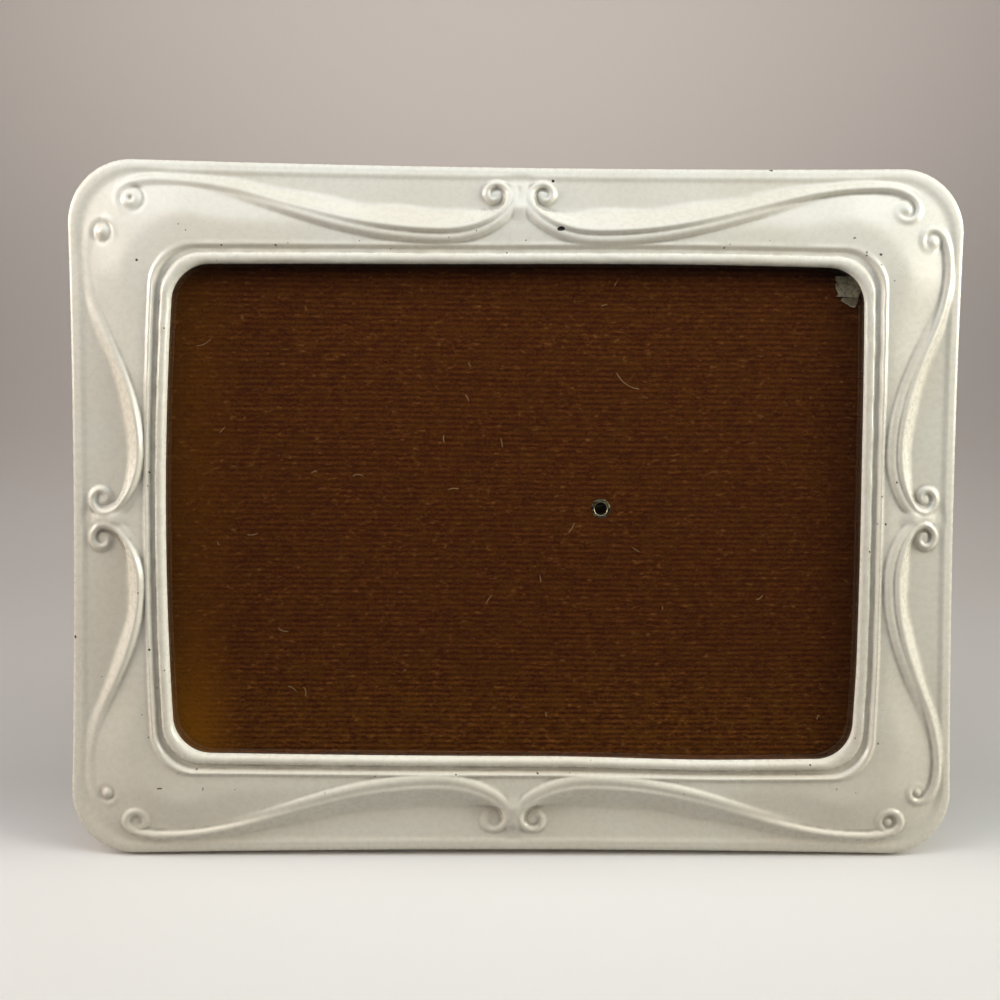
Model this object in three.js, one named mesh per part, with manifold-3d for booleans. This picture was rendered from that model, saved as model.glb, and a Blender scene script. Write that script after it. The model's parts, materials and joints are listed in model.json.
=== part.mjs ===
// Glazed easel picture frame: a painted metal casting with eight S-scrolls, and a swivelling rear strut.
// Millimetres, +Z up. It stands landscape, leaning back on its lower rear edge and the foot of the strut.
// In the leaning group X runs across, Z up the face and Y backwards, with Y = 0 on the casting's rear plane.
import * as THREE from 'three';
import { mergeVertices } from 'three/addons/utils/BufferGeometryUtils.js';
import Module from 'manifold-3d';

const wasm = await Module();
wasm.setup();

// Opening, rails and stance
const SIGHT_WIDTH = 168;
const SIGHT_HEIGHT = 120;
const SIGHT_RADIUS = 9;
const SIGHT_BOW = 0.6;
const RAIL_SIDE = 26;
const RAIL_TOP = 25.5;
const OUTER_RADIUS = 15.5;
const OUTER_BOW = -0.9;
const LEAN = THREE.MathUtils.degToRad(14);
const STANDING_FLAT = 0.25;

// Sheets held in the rebate, and the clearances between pieces
const GLASS_THICKNESS = 2;
const SCRAP_THICKNESS = 0.3;
const FACING_THICKNESS = 0.4;
const BOARD_THICKNESS = 2;
const REAR_PAPER_THICKNESS = 0.4;
const LAP_SIDE = 5;
const LAP_TOP = 3.5;
const SHEET_RADIUS = 7;
const REBATE_CLEARANCE = 0.6;
const SEAT_GAP = 0.3;

// Section of the casting, from the outer edge to the opening
const EDGE_HEIGHT = 4.4;
const RIM_WIDTH = 2.6;
const RIM_RISE = 1;
const VALLEY_WIDTH = 0.7;
const VALLEY_RISE = 0.3;
const FIELD_POWER = 1.3;
const LIP_WALL = 1.3;
const RIDGE_WIDTH = 1.6;
const RIDGE_RISE = 0.8;
const GROOVE_WIDTH = 0.3;
const BEAD_WIDTH = 3.3;
const BEAD_RISE = 1.8;
const REAR_LAND = 5;
const CHANNEL_SLOPE = 1;
const CHANNEL_WALL = 2.6;
const SEAT_WALL = 3.3;

// Scrolls: places along a rail from its middle or its corner, depths in from the outer edge
const EYE_DEPTH = 9.2;
const EYE_RADIUS = 1.05;
const CENTRE_EYE_ALONG = 5.8;
const CORNER_EYE_INSET = 16.8;
const CENTRE_VOLUTE = 4.1;
const CORNER_VOLUTE = 3.5;
const VOLUTE_INNER = 1.35;
const CENTRE_TURNS = 1.2;
const CORNER_TURNS = 1.05;
const BELLY_ALONG_TOP = 18.8;
const BELLY_DEPTH_TOP = 19.2;
const BELLY_ALONG_SIDE = 15.6;
const BELLY_DEPTH_SIDE = 17.8;
const SHOULDER_DEPTH = 4.6;
const SHOULDER_BACK = 6.8;
const RIB_HEIGHT = 1.25;
const RIB_SINK = 1.4;
const RIB_HALF_EYE = 0.72;
const RIB_HALF_VOLUTE = 0.9;
const RIB_HALF_BELLY = 1.25;
const RIB_HALF_SHOULDER = 1;
const RIB_TOE_BELLY = 3;
const RIB_TOE_SHOULDER = 1.2;
const RIB_TOE_SINK = 0.25;
const RIB_FLANK = 0.72;
const RIB_FLANK_RISE = 0.62;

// Roundness of the scroll's runs, as shares of the distance between their ends
const STEM_LEAVE = 0.47;
const STEM_ARRIVE = 0.58;
const SWEEP_LEAVE = 0.43;
const SWEEP_ARRIVE = 0.33;
const TURN_REACH = 0.62;

// Turn buttons on cast bosses, each on its screw
const BUTTON_SPACING = 110;
const BOSS_INSET = 14.5;
const BOSS_RADIUS = 3.2;
const BUTTON_THICKNESS = 1;
const BUTTON_HALF_WIDTH = 3.6;
const BUTTON_TIP_RADIUS = 2.6;
const BUTTON_GRIP = 4.5;
const SCREW_RADIUS = 1.1;
const SCREW_DEPTH = 3;
const SCREW_HEAD_RADIUS = 2.3;
const SCREW_HEAD_HEIGHT = 1.3;
const SCREW_HEAD_CROWN = 0.45;
const SLOT_WIDTH = 0.6;
const SLOT_DEPTH = 0.6;
const BORE_CLEARANCE = 0.3;

// Hollow rivet that the strut swivels on, seen through the glass, right of the middle and a little above it
const PIVOT_OFFSET = 20.9;
const PIVOT_RISE = 1.2;
const PIVOT_BORE = 1.45;
const PIVOT_BARREL = 1.95;
const PIVOT_FLARE = 2.5;
const PIVOT_HEAD = 3.4;
const PIVOT_HEAD_HEIGHT = 0.6;
const WASHER_RADIUS = 4.6;
const WASHER_THICKNESS = 0.5;

// Easel hinge and strut
const OPEN_ANGLE = THREE.MathUtils.degToRad(25);
const LEAF_THICKNESS = 1;
const LEAF_TOP_RADIUS = 9;
const HINGE_DROP = 14;
const KNUCKLE_RADIUS = 2.2;
const PIN_RADIUS = 1;
const CENTRE_KNUCKLE_WIDTH = 8;
const SIDE_KNUCKLE_WIDTH = 5.5;
const EAR_WIDTH = 4;
const STRUT_LEAF_LENGTH = 24;
const STRUT_LEAF_STRAIGHT = 7;
const STRUT_LEAF_END = 20;
const STRUT_THICKNESS = 2.2;
const STRUT_TOP_DROP = 5;
const STRUT_TOP_WIDTH = 23;
const STRUT_FOOT_WIDTH = 36;
const STRUT_EYELET_SPACING = 12;
const STRUT_EYELET_DROP = 15;
const STRUT_EYELET_BORE = 1;
const STRUT_EYELET_BARREL = 1.4;
const STRUT_EYELET_HEAD = 2.4;
const STRUT_EYELET_HEAD_HEIGHT = 0.5;

// Paper scrap caught behind the glass, in from the upper right corner of the sheets
const SCRAP_RIGHT_INSET = 4.1;
const SCRAP_TOP_INSET = 4.2;
const SCRAP_WIDTH = 6.5;
const SCRAP_HEIGHT = 7.8;

// Facet counts
const CORNER_STEPS = 6;
const SIDE_STEPS = 6;
const FIELD_STEPS = 5;
const RIM_STEPS = 5;
const RIDGE_STEPS = 4;
const BEAD_STEPS = 7;
const TURN_STEPS = 8;
const STEM_STEPS = 5;
const SWEEP_STEPS = 8;
const SHOULDER_STEPS = 3;
const BARREL_SIDES = 16;
const EYE_SIDES = 8;

// Sizes that follow from the driving dimensions
const OUTER_WIDTH = SIGHT_WIDTH + 2 * RAIL_SIDE;
const OUTER_HEIGHT = SIGHT_HEIGHT + 2 * RAIL_TOP;
const FACE_MIDDLE = OUTER_HEIGHT / 2;
const PIVOT_UP = FACE_MIDDLE + PIVOT_RISE;
const SHEET_WIDTH = SIGHT_WIDTH + 2 * LAP_SIDE;
const SHEET_HEIGHT = SIGHT_HEIGHT + 2 * LAP_TOP;
const BOARD_FRONT = SEAT_GAP + BOARD_THICKNESS;
const FACING_FRONT = BOARD_FRONT + SEAT_GAP + FACING_THICKNESS;
const SCRAP_FRONT = FACING_FRONT + SEAT_GAP + SCRAP_THICKNESS;
const GLASS_FRONT = SCRAP_FRONT + SEAT_GAP + GLASS_THICKNESS;
const REBATE_DEPTH = GLASS_FRONT + SEAT_GAP;
const INNER_LEVEL = REBATE_DEPTH + LIP_WALL;
const VALLEY_LEVEL = EDGE_HEIGHT + VALLEY_RISE;
const FIELD_START = RIM_WIDTH + VALLEY_WIDTH;
const FIELD_END = BEAD_WIDTH + GROOVE_WIDTH + RIDGE_WIDTH;
const BACK_SURFACE = REAR_PAPER_THICKNESS;
const PLATE_FRONT = BACK_SURFACE + SEAT_GAP;
const LEAF_REAR = PLATE_FRONT + LEAF_THICKNESS;
const BUTTON_REAR = PLATE_FRONT + BUTTON_THICKNESS;
const HINGE_BACK = PLATE_FRONT + KNUCKLE_RADIUS;
const LEAF_WIDTH = CENTRE_KNUCKLE_WIDTH + 2 * (SIDE_KNUCKLE_WIDTH + EAR_WIDTH + 2 * SEAT_GAP);
const BUTTON_REACH = RAIL_TOP - LAP_TOP - BOSS_INSET + BUTTON_GRIP;

// Materials
const paint = { color: 0xe6e1d5, roughness: 0.35, metalness: 0 };
const glass = { color: 0xdfe6e4, roughness: 0.05, metalness: 0, transparent: true, opacity: 0.2 };
const brownPaper = { color: 0x4a2a0e, roughness: 0.9, metalness: 0 };
const greyPaper = { color: 0x8d8675, roughness: 0.9, metalness: 0 };
const greyBoard = { color: 0x8a7a62, roughness: 0.95, metalness: 0 };
const darkPaper = { color: 0x2c211a, roughness: 0.8, metalness: 0 };
const plated = { color: 0xb9b4a6, roughness: 0.35, metalness: 1 };
const steel = { color: 0x8f8d88, roughness: 0.45, metalness: 1 };

// A geometry with merged vertices and no empty triangles, as a solid for joining and cutting.
function solidOf(geometry) {
  geometry.deleteAttribute('normal');
  geometry.deleteAttribute('uv');
  const merged = mergeVertices(geometry);
  const triangles = [];
  for (let k = 0; k < merged.index.count; k += 3) {
    const corners = [merged.index.getX(k), merged.index.getX(k + 1), merged.index.getX(k + 2)];
    if (new Set(corners).size === 3) triangles.push(...corners);
  }
  return new wasm.Manifold(new wasm.Mesh({
    numProp: 3,
    vertProperties: Float32Array.from(merged.attributes.position.array),
    triVerts: Uint32Array.from(triangles),
  }));
}

function geometryOf(solid) {
  const mesh = solid.getMesh();
  const geometry = new THREE.BufferGeometry();
  geometry.setAttribute('position', new THREE.BufferAttribute(mesh.vertProperties, 3));
  geometry.setIndex(new THREE.BufferAttribute(mesh.triVerts, 1));
  geometry.computeVertexNormals();
  return geometry;
}

// A closed body from points and triangles, turned so that its faces point out.
function bodyOf(points, triangles) {
  const cross = new THREE.Vector3();
  let volume = 0;
  for (const [a, b, c] of triangles) {
    volume += cross.crossVectors(points[b], points[c]).dot(points[a]);
  }
  const geometry = new THREE.BufferGeometry().setFromPoints(points);
  geometry.setIndex(triangles.flatMap(([a, b, c]) => (volume > 0 ? [a, b, c] : [a, c, b])));
  return geometry;
}

function addMesh(group, name, geometry, material) {
  const mesh = new THREE.Mesh(geometry, new THREE.MeshStandardMaterial(material));
  mesh.name = name;
  group.add(mesh);
  return mesh;
}

// A flat plate cut to a shape drawn across (x) and up (y), lying between two distances behind the rear plane.
function plate(shape, front, rear, curveSegments = BARREL_SIDES / 2) {
  const settings = { depth: rear - front, bevelEnabled: false, curveSegments };
  const geometry = new THREE.ExtrudeGeometry(shape, settings);
  geometry.rotateX(Math.PI / 2);
  geometry.translate(0, rear, 0);
  return geometry;
}

// A turned piece whose axis runs backwards through (x, z), from pairs of radius and distance behind.
function turned(pairs, x, z) {
  const profile = pairs.map(([radius, back]) => new THREE.Vector2(radius, back));
  const geometry = new THREE.LatheGeometry(profile, BARREL_SIDES);
  geometry.translate(x, 0, z);
  return geometry;
}

function rod(radius, front, rear, x, z) {
  return turned([[0, front], [radius, front], [radius, rear], [0, rear]], x, z);
}

// A barrel lying across, centred on x, at a distance behind and a height.
function crossBarrel(radius, width, x, back, up) {
  const geometry = new THREE.CylinderGeometry(radius, radius, width, BARREL_SIDES);
  geometry.rotateZ(Math.PI / 2);
  geometry.translate(x, back, up);
  return geometry;
}

function roundedRectangle(width, height, radius, middle) {
  const x = width / 2 - radius;
  const y = height / 2 - radius;
  const shape = new THREE.Shape();
  shape.absarc(x, middle + y, radius, 0, Math.PI / 2);
  shape.absarc(-x, middle + y, radius, Math.PI / 2, Math.PI);
  shape.absarc(-x, middle - y, radius, Math.PI, 1.5 * Math.PI);
  shape.absarc(x, middle - y, radius, 1.5 * Math.PI, 2 * Math.PI);
  return shape;
}

function withHole(shape, radius, x, y) {
  const hole = new THREE.Path();
  hole.absarc(x, y, radius, 0, 2 * Math.PI, true);
  shape.holes.push(hole);
  return shape;
}

// Everything below the floor, seen from inside a placed group.
function belowFloor(group) {
  const size = 2 * (OUTER_WIDTH + OUTER_HEIGHT);
  const slab = new THREE.BoxGeometry(size, size, OUTER_HEIGHT);
  slab.translate(0, 0, -OUTER_HEIGHT / 2);
  group.updateWorldMatrix(true, false);
  slab.applyMatrix4(group.matrixWorld.clone().invert());
  return solidOf(slab);
}

// Casting: half sizes of a contour, stepped in from the outer edge or out from the opening
function fromOuter(inset) {
  return { halfWidth: OUTER_WIDTH / 2 - inset, halfHeight: OUTER_HEIGHT / 2 - inset };
}

function fromSight(outset) {
  return { halfWidth: SIGHT_WIDTH / 2 + outset, halfHeight: SIGHT_HEIGHT / 2 + outset };
}

function between(a, b, share) {
  return {
    halfWidth: THREE.MathUtils.lerp(a.halfWidth, b.halfWidth, share),
    halfHeight: THREE.MathUtils.lerp(a.halfHeight, b.halfHeight, share),
  };
}

// A contour of the casting: a rectangle with bowed sides and round corners, as points across and up.
function contourPoints({ halfWidth, halfHeight }) {
  const share = (OUTER_WIDTH / 2 - halfWidth) / RAIL_SIDE;
  const radius = THREE.MathUtils.lerp(OUTER_RADIUS, SIGHT_RADIUS, share);
  const bow = THREE.MathUtils.lerp(OUTER_BOW, SIGHT_BOW, share);
  const points = [];
  for (let quarter = 0; quarter < 4; quarter++) {
    const start = quarter * Math.PI / 2;
    const right = quarter === 0 || quarter === 3 ? 1 : -1;
    const top = quarter < 2 ? 1 : -1;
    const centre = new THREE.Vector2(right * (halfWidth - radius), top * (halfHeight - radius));
    for (let step = 0; step <= CORNER_STEPS; step++) {
      const angle = start + step / CORNER_STEPS * Math.PI / 2;
      points.push(new THREE.Vector2(Math.cos(angle), Math.sin(angle)).multiplyScalar(radius).add(centre));
    }
    const outward = new THREE.Vector2(Math.cos(start + Math.PI / 2), Math.sin(start + Math.PI / 2));
    const along = new THREE.Vector2(-outward.y, outward.x);
    const from = points[points.length - 1];
    const length = 2 * Math.abs(from.dot(along));
    for (let step = 1; step < SIDE_STEPS; step++) {
      const share = step / SIDE_STEPS;
      const swell = bow * 4 * share * (1 - share);
      points.push(from.clone().addScaledVector(along, share * length).addScaledVector(outward, swell));
    }
  }
  return points;
}

// Height of the plain field, for a share of the way from the rim's valley to the inner ridge.
function fieldLevel(share) {
  const clamped = THREE.MathUtils.clamp(share, 0, 1);
  return THREE.MathUtils.lerp(VALLEY_LEVEL, INNER_LEVEL, clamped ** FIELD_POWER);
}

// Section of the casting: contours with their height in front of the rear plane, round the whole outline.
function castingSection() {
  const section = [];
  const add = (contour, height) => section.push({ ...contour, height });
  const halfRound = (place, width, base, rise, steps) => {
    for (let step = 0; step <= steps; step++) {
      const angle = step / steps * Math.PI;
      add(place(width / 2 * (1 - Math.cos(angle))), base + rise * Math.sin(angle));
    }
  };
  const outerField = fromOuter(FIELD_START);
  const innerField = fromSight(FIELD_END);
  add(fromOuter(0), 0);
  halfRound((step) => fromOuter(step), RIM_WIDTH, EDGE_HEIGHT, RIM_RISE, RIM_STEPS);
  for (let step = 0; step < FIELD_STEPS; step++) {
    const share = step / FIELD_STEPS;
    add(between(outerField, innerField, share), fieldLevel(share));
  }
  halfRound((step) => fromSight(FIELD_END - step), RIDGE_WIDTH, INNER_LEVEL, RIDGE_RISE, RIDGE_STEPS);
  halfRound((step) => fromSight(BEAD_WIDTH - step), BEAD_WIDTH, INNER_LEVEL, BEAD_RISE, BEAD_STEPS);
  add(fromSight(0), 0);
  const seat = {
    halfWidth: SHEET_WIDTH / 2 + REBATE_CLEARANCE + SEAT_WALL,
    halfHeight: SHEET_HEIGHT / 2 + REBATE_CLEARANCE + SEAT_WALL,
  };
  const land = fromOuter(REAR_LAND);
  const slope = CHANNEL_SLOPE / (seat.halfWidth - land.halfWidth);
  const fieldWidth = RAIL_SIDE - FIELD_START - FIELD_END;
  const levelOver = (contour) => fieldLevel((outerField.halfWidth - contour.halfWidth) / fieldWidth);
  const channelInner = between(seat, land, -slope);
  const channelOuter = between(land, seat, -slope);
  add(seat, 0);
  add(channelInner, levelOver(channelInner) - CHANNEL_WALL);
  add(channelOuter, levelOver(channelOuter) - CHANNEL_WALL);
  add(land, 0);
  return section;
}

function castingRing() {
  const section = castingSection();
  const rings = section.map((contour) => contourPoints(contour));
  const around = rings[0].length;
  const points = [];
  rings.forEach((ring, j) => {
    for (const point of ring) {
      points.push(new THREE.Vector3(point.x, -section[j].height, point.y + FACE_MIDDLE));
    }
  });
  const triangles = [];
  for (let j = 0; j < rings.length; j++) {
    const next = (j + 1) % rings.length;
    for (let i = 0; i < around; i++) {
      const right = (i + 1) % around;
      const corners = [j * around + i, j * around + right, next * around + right, next * around + i];
      triangles.push([corners[0], corners[1], corners[2]]);
      triangles.push([corners[0], corners[2], corners[3]]);
    }
  }
  return solidOf(bodyOf(points, triangles));
}

// Scrolls: a centreline along one half of a rail, as places along and in, with the rib's half width and toe
function volute(along, depth, outerRadius, startAngle, turns) {
  const points = [];
  const steps = Math.round(turns * TURN_STEPS);
  for (let step = 0; step <= steps; step++) {
    const share = step / steps;
    const angle = startAngle + share * turns * 2 * Math.PI;
    const radius = THREE.MathUtils.lerp(outerRadius, VOLUTE_INNER, share);
    points.push({
      along: along + radius * Math.cos(angle),
      depth: depth + radius * Math.sin(angle),
      half: THREE.MathUtils.lerp(RIB_HALF_VOLUTE, RIB_HALF_EYE, share),
      toe: 0,
    });
  }
  return points;
}

// A smooth run that leaves one end and arrives at the other along a rail or across it.
function smoothRun(from, leave, arrive, to, steps) {
  const first = new THREE.Vector2(from.along, from.depth);
  const last = new THREE.Vector2(to.along, to.depth);
  const second = first.clone().add(leave);
  const third = last.clone().sub(arrive);
  const curve = new THREE.CubicBezierCurve(first, second, third, last);
  return curve.getPoints(steps).slice(1).map((point, k) => ({
    along: point.x,
    depth: point.y,
    half: THREE.MathUtils.lerp(from.half, to.half, (k + 1) / steps),
    toe: THREE.MathUtils.lerp(from.toe, to.toe, (k + 1) / steps),
  }));
}

function scrollLine(rail) {
  const cornerAlong = rail.half - CORNER_EYE_INSET;
  const plain = { depth: EYE_DEPTH, half: RIB_HALF_VOLUTE, toe: 0 };
  const start = { ...plain, along: CENTRE_EYE_ALONG - CENTRE_VOLUTE };
  const belly = { along: rail.bellyAlong, depth: rail.bellyDepth, half: RIB_HALF_BELLY, toe: RIB_TOE_BELLY };
  const shoulder = {
    along: cornerAlong - SHOULDER_BACK, depth: SHOULDER_DEPTH, half: RIB_HALF_SHOULDER, toe: RIB_TOE_SHOULDER,
  };
  const end = { ...plain, along: cornerAlong + CORNER_VOLUTE };
  const along = (share, a, b) => new THREE.Vector2(share * (b.along - a.along), 0);
  const across = (share, a, b) => new THREE.Vector2(0, share * (b.depth - a.depth));
  const stem = smoothRun(
    start, across(STEM_LEAVE, start, belly), along(STEM_ARRIVE, start, belly), belly, STEM_STEPS,
  );
  const run = smoothRun(
    belly, along(SWEEP_LEAVE, belly, shoulder), along(SWEEP_ARRIVE, belly, shoulder), shoulder, SWEEP_STEPS,
  );
  const turn = smoothRun(
    shoulder, along(TURN_REACH, shoulder, end), across(TURN_REACH, shoulder, end), end, SHOULDER_STEPS,
  );
  const centre = volute(CENTRE_EYE_ALONG, EYE_DEPTH, CENTRE_VOLUTE, Math.PI, CENTRE_TURNS).reverse();
  const corner = volute(cornerAlong, EYE_DEPTH, CORNER_VOLUTE, 0, CORNER_TURNS).slice(1);
  return [...centre, ...stem, ...run, ...turn, ...corner];
}

// Section of a rib across its run, from the toe on the rim's side to the foot on the opening's side.
function ribSection({ half, toe }) {
  const height = RIB_HEIGHT * Math.min(1, half / RIB_HALF_SHOULDER);
  return [
    { side: -half - toe, sink: toe > 0 ? RIB_TOE_SINK : RIB_SINK },
    { side: -RIB_FLANK * half, rise: RIB_FLANK_RISE * height },
    { side: 0, rise: height },
    { side: RIB_FLANK * half, rise: RIB_FLANK_RISE * height },
    { side: half, sink: RIB_SINK },
  ];
}

function ribBody(line, place, levelAt) {
  const sections = line.map((point) => ribSection(point));
  const points = [];
  line.forEach((point, k) => {
    const before = line[Math.max(k - 1, 0)];
    const after = line[Math.min(k + 1, line.length - 1)];
    const run = new THREE.Vector2(after.along - before.along, after.depth - before.depth).normalize();
    for (const { side, rise, sink } of sections[k]) {
      const along = point.along - run.y * side;
      const depth = point.depth + run.x * side;
      const level = sink ? levelAt(depth) - sink : levelAt(point.depth) + rise;
      points.push(place(along, depth, level));
    }
  });
  const sides = sections[0].length;
  const triangles = [];
  for (let k = 0; k + 1 < line.length; k++) {
    for (let i = 0; i < sides; i++) {
      const right = (i + 1) % sides;
      const corners = [k * sides + i, k * sides + right, (k + 1) * sides + right, (k + 1) * sides + i];
      triangles.push([corners[0], corners[1], corners[2]]);
      triangles.push([corners[0], corners[2], corners[3]]);
    }
  }
  const last = (line.length - 1) * sides;
  for (let i = 1; i + 1 < sides; i++) {
    triangles.push([0, i + 1, i]);
    triangles.push([last, last + i, last + i + 1]);
  }
  return solidOf(bodyOf(points, triangles));
}

function eyeBody(along, depth, place, levelAt) {
  const ball = new THREE.SphereGeometry(EYE_RADIUS, EYE_SIDES, EYE_SIDES / 2);
  const middle = place(along, depth, levelAt(depth));
  ball.translate(middle.x, middle.y, middle.z);
  return solidOf(ball);
}

// The four rails, each with its half length, width, belly and the way from along, in and height to the face.
const LONG_RAIL = {
  half: OUTER_WIDTH / 2, width: RAIL_TOP, bellyAlong: BELLY_ALONG_TOP, bellyDepth: BELLY_DEPTH_TOP,
};
const SHORT_RAIL = {
  half: OUTER_HEIGHT / 2, width: RAIL_SIDE, bellyAlong: BELLY_ALONG_SIDE, bellyDepth: BELLY_DEPTH_SIDE,
};
const RAILS = [
  { ...LONG_RAIL, place: (along, depth, level) => new THREE.Vector3(along, -level, OUTER_HEIGHT - depth) },
  { ...LONG_RAIL, place: (along, depth, level) => new THREE.Vector3(along, -level, depth) },
  {
    ...SHORT_RAIL,
    place: (along, depth, level) => new THREE.Vector3(depth - OUTER_WIDTH / 2, -level, FACE_MIDDLE + along),
  },
  {
    ...SHORT_RAIL,
    place: (along, depth, level) => new THREE.Vector3(OUTER_WIDTH / 2 - depth, -level, FACE_MIDDLE + along),
  },
];

function withScrolls(solid) {
  let result = solid;
  for (const rail of RAILS) {
    const line = scrollLine(rail);
    const levelAt = (depth) => fieldLevel((depth - FIELD_START) / (rail.width - FIELD_START - FIELD_END));
    for (const side of [1, -1]) {
      const place = (along, depth, level) => rail.place(side * along, depth, level);
      result = result.add(ribBody(line, place, levelAt));
      result = result.add(eyeBody(CENTRE_EYE_ALONG, EYE_DEPTH, place, levelAt));
      result = result.add(eyeBody(rail.half - CORNER_EYE_INSET, EYE_DEPTH, place, levelAt));
    }
  }
  return result;
}

// Places of the four turn buttons: name, across, up, and whether the button hangs down from its boss
const BUTTONS = [
  { name: 'top_left', x: -BUTTON_SPACING / 2, z: OUTER_HEIGHT - BOSS_INSET, turn: Math.PI },
  { name: 'top_right', x: BUTTON_SPACING / 2, z: OUTER_HEIGHT - BOSS_INSET, turn: Math.PI },
  { name: 'bottom_left', x: -BUTTON_SPACING / 2, z: BOSS_INSET, turn: 0 },
  { name: 'bottom_right', x: BUTTON_SPACING / 2, z: BOSS_INSET, turn: 0 },
];

function castFrame(group) {
  let casting = castingRing();
  const bossFront = -SCREW_DEPTH - SEAT_GAP;
  for (const button of BUTTONS) {
    casting = casting.add(solidOf(rod(BOSS_RADIUS, bossFront, BACK_SURFACE, button.x, button.z)));
  }
  casting = withScrolls(casting);
  const rebate = roundedRectangle(
    SHEET_WIDTH + 2 * REBATE_CLEARANCE, SHEET_HEIGHT + 2 * REBATE_CLEARANCE,
    SHEET_RADIUS + REBATE_CLEARANCE, FACE_MIDDLE,
  );
  casting = casting.subtract(solidOf(plate(rebate, -REBATE_DEPTH, REBATE_DEPTH)));
  for (const button of BUTTONS) {
    const hole = rod(SCREW_RADIUS + BORE_CLEARANCE, bossFront, SCREW_DEPTH, button.x, button.z);
    casting = casting.subtract(solidOf(hole));
  }
  casting = casting.subtract(belowFloor(group));
  addMesh(group, 'cast_frame', geometryOf(casting), paint);
}

// Glass, papers and board, all cut to the same outline
function sheet() {
  return roundedRectangle(SHEET_WIDTH, SHEET_HEIGHT, SHEET_RADIUS, FACE_MIDDLE);
}

function sheets(group) {
  const pivotHole = (radius) => withHole(sheet(), radius, PIVOT_OFFSET, PIVOT_UP);
  const barrelHole = PIVOT_BARREL + BORE_CLEARANCE;
  const flareHole = PIVOT_FLARE + BORE_CLEARANCE;
  const facingRear = -FACING_FRONT + FACING_THICKNESS;
  addMesh(group, 'glass_pane', plate(sheet(), -GLASS_FRONT, -GLASS_FRONT + GLASS_THICKNESS), glass);
  addMesh(group, 'facing_paper', plate(pivotHole(flareHole), -FACING_FRONT, facingRear), brownPaper);
  addMesh(group, 'backing_board', plate(pivotHole(barrelHole), -BOARD_FRONT, -SEAT_GAP), greyBoard);
  addMesh(group, 'rear_paper', plate(pivotHole(barrelHole), 0, REAR_PAPER_THICKNESS), darkPaper);
}

// A torn scrap of paper: a square with a ragged foot, its corners as shares of its width and height.
function paperScrap(group) {
  const right = SHEET_WIDTH / 2 - SCRAP_RIGHT_INSET;
  const top = FACE_MIDDLE + SHEET_HEIGHT / 2 - SCRAP_TOP_INSET;
  const corners = [[0, 0.05], [0.95, 0], [1, 0.7], [0.8, 1], [0.4, 0.86], [0.45, 0.72], [0.03, 0.68]];
  const points = corners.map(([across, down]) => new THREE.Vector2(
    right - SCRAP_WIDTH * (1 - across), top - SCRAP_HEIGHT * down,
  ));
  const rear = -SCRAP_FRONT + SCRAP_THICKNESS;
  addMesh(group, 'paper_scrap', plate(new THREE.Shape(points.reverse()), -SCRAP_FRONT, rear), greyPaper);
}

// Turn button: a tapered tongue with a round end about its screw, and the slotted screw
function buttonShape() {
  const shape = new THREE.Shape();
  shape.absarc(0, 0, BUTTON_HALF_WIDTH, Math.PI, 2 * Math.PI);
  shape.absarc(0, BUTTON_REACH - BUTTON_TIP_RADIUS, BUTTON_TIP_RADIUS, 0, Math.PI);
  return withHole(shape, SCREW_RADIUS + BORE_CLEARANCE, 0, 0);
}

function turnButtons(group) {
  const headFront = BUTTON_REAR + SEAT_GAP;
  const headRear = headFront + SCREW_HEAD_HEIGHT;
  const profile = [
    [0, -SCREW_DEPTH], [SCREW_RADIUS, -SCREW_DEPTH], [SCREW_RADIUS, headFront],
    [SCREW_HEAD_RADIUS, headFront], [SCREW_HEAD_RADIUS, headRear - SCREW_HEAD_CROWN], [0, headRear],
  ];
  for (const button of BUTTONS) {
    const pivot = new THREE.Group();
    pivot.position.set(button.x, 0, button.z);
    pivot.rotation.y = button.turn;
    group.add(pivot);
    addMesh(pivot, `turn_button_${button.name}`, plate(buttonShape(), PLATE_FRONT, BUTTON_REAR), plated);
    const slot = new THREE.BoxGeometry(2 * SCREW_HEAD_RADIUS + SLOT_WIDTH, 2 * SLOT_DEPTH, SLOT_WIDTH);
    slot.translate(0, headRear, 0);
    const screw = solidOf(turned(profile, 0, 0)).subtract(solidOf(slot));
    addMesh(pivot, `turn_screw_${button.name}`, geometryOf(screw), steel);
  }
}

// Rivet through board and leaf, hollow from its flared front end back to its round head on a washer
function pivot(group) {
  const washerFront = LEAF_REAR + SEAT_GAP;
  const washerRear = washerFront + WASHER_THICKNESS;
  const headFront = washerRear + SEAT_GAP;
  const headRear = headFront + PIVOT_HEAD_HEIGHT;
  const flareRear = -FACING_FRONT + FACING_THICKNESS;
  const profile = [
    [0, headFront], [PIVOT_BORE, headFront], [PIVOT_BORE, -FACING_FRONT], [PIVOT_FLARE, -FACING_FRONT],
    [PIVOT_FLARE, flareRear], [PIVOT_BARREL, flareRear], [PIVOT_BARREL, headFront], [PIVOT_HEAD, headFront],
    [PIVOT_HEAD, headRear], [0, headRear],
  ];
  const eyelet = solidOf(turned(profile, PIVOT_OFFSET, PIVOT_UP));
  const hole = PIVOT_BARREL + BORE_CLEARANCE;
  const washer = [
    [hole, washerFront], [WASHER_RADIUS, washerFront], [WASHER_RADIUS, washerRear], [hole, washerRear],
    [hole, washerFront],
  ];
  addMesh(group, 'pivot_eyelet', geometryOf(eyelet), plated);
  addMesh(group, 'pivot_washer', turned(washer, PIVOT_OFFSET, PIVOT_UP), steel);
}

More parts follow.
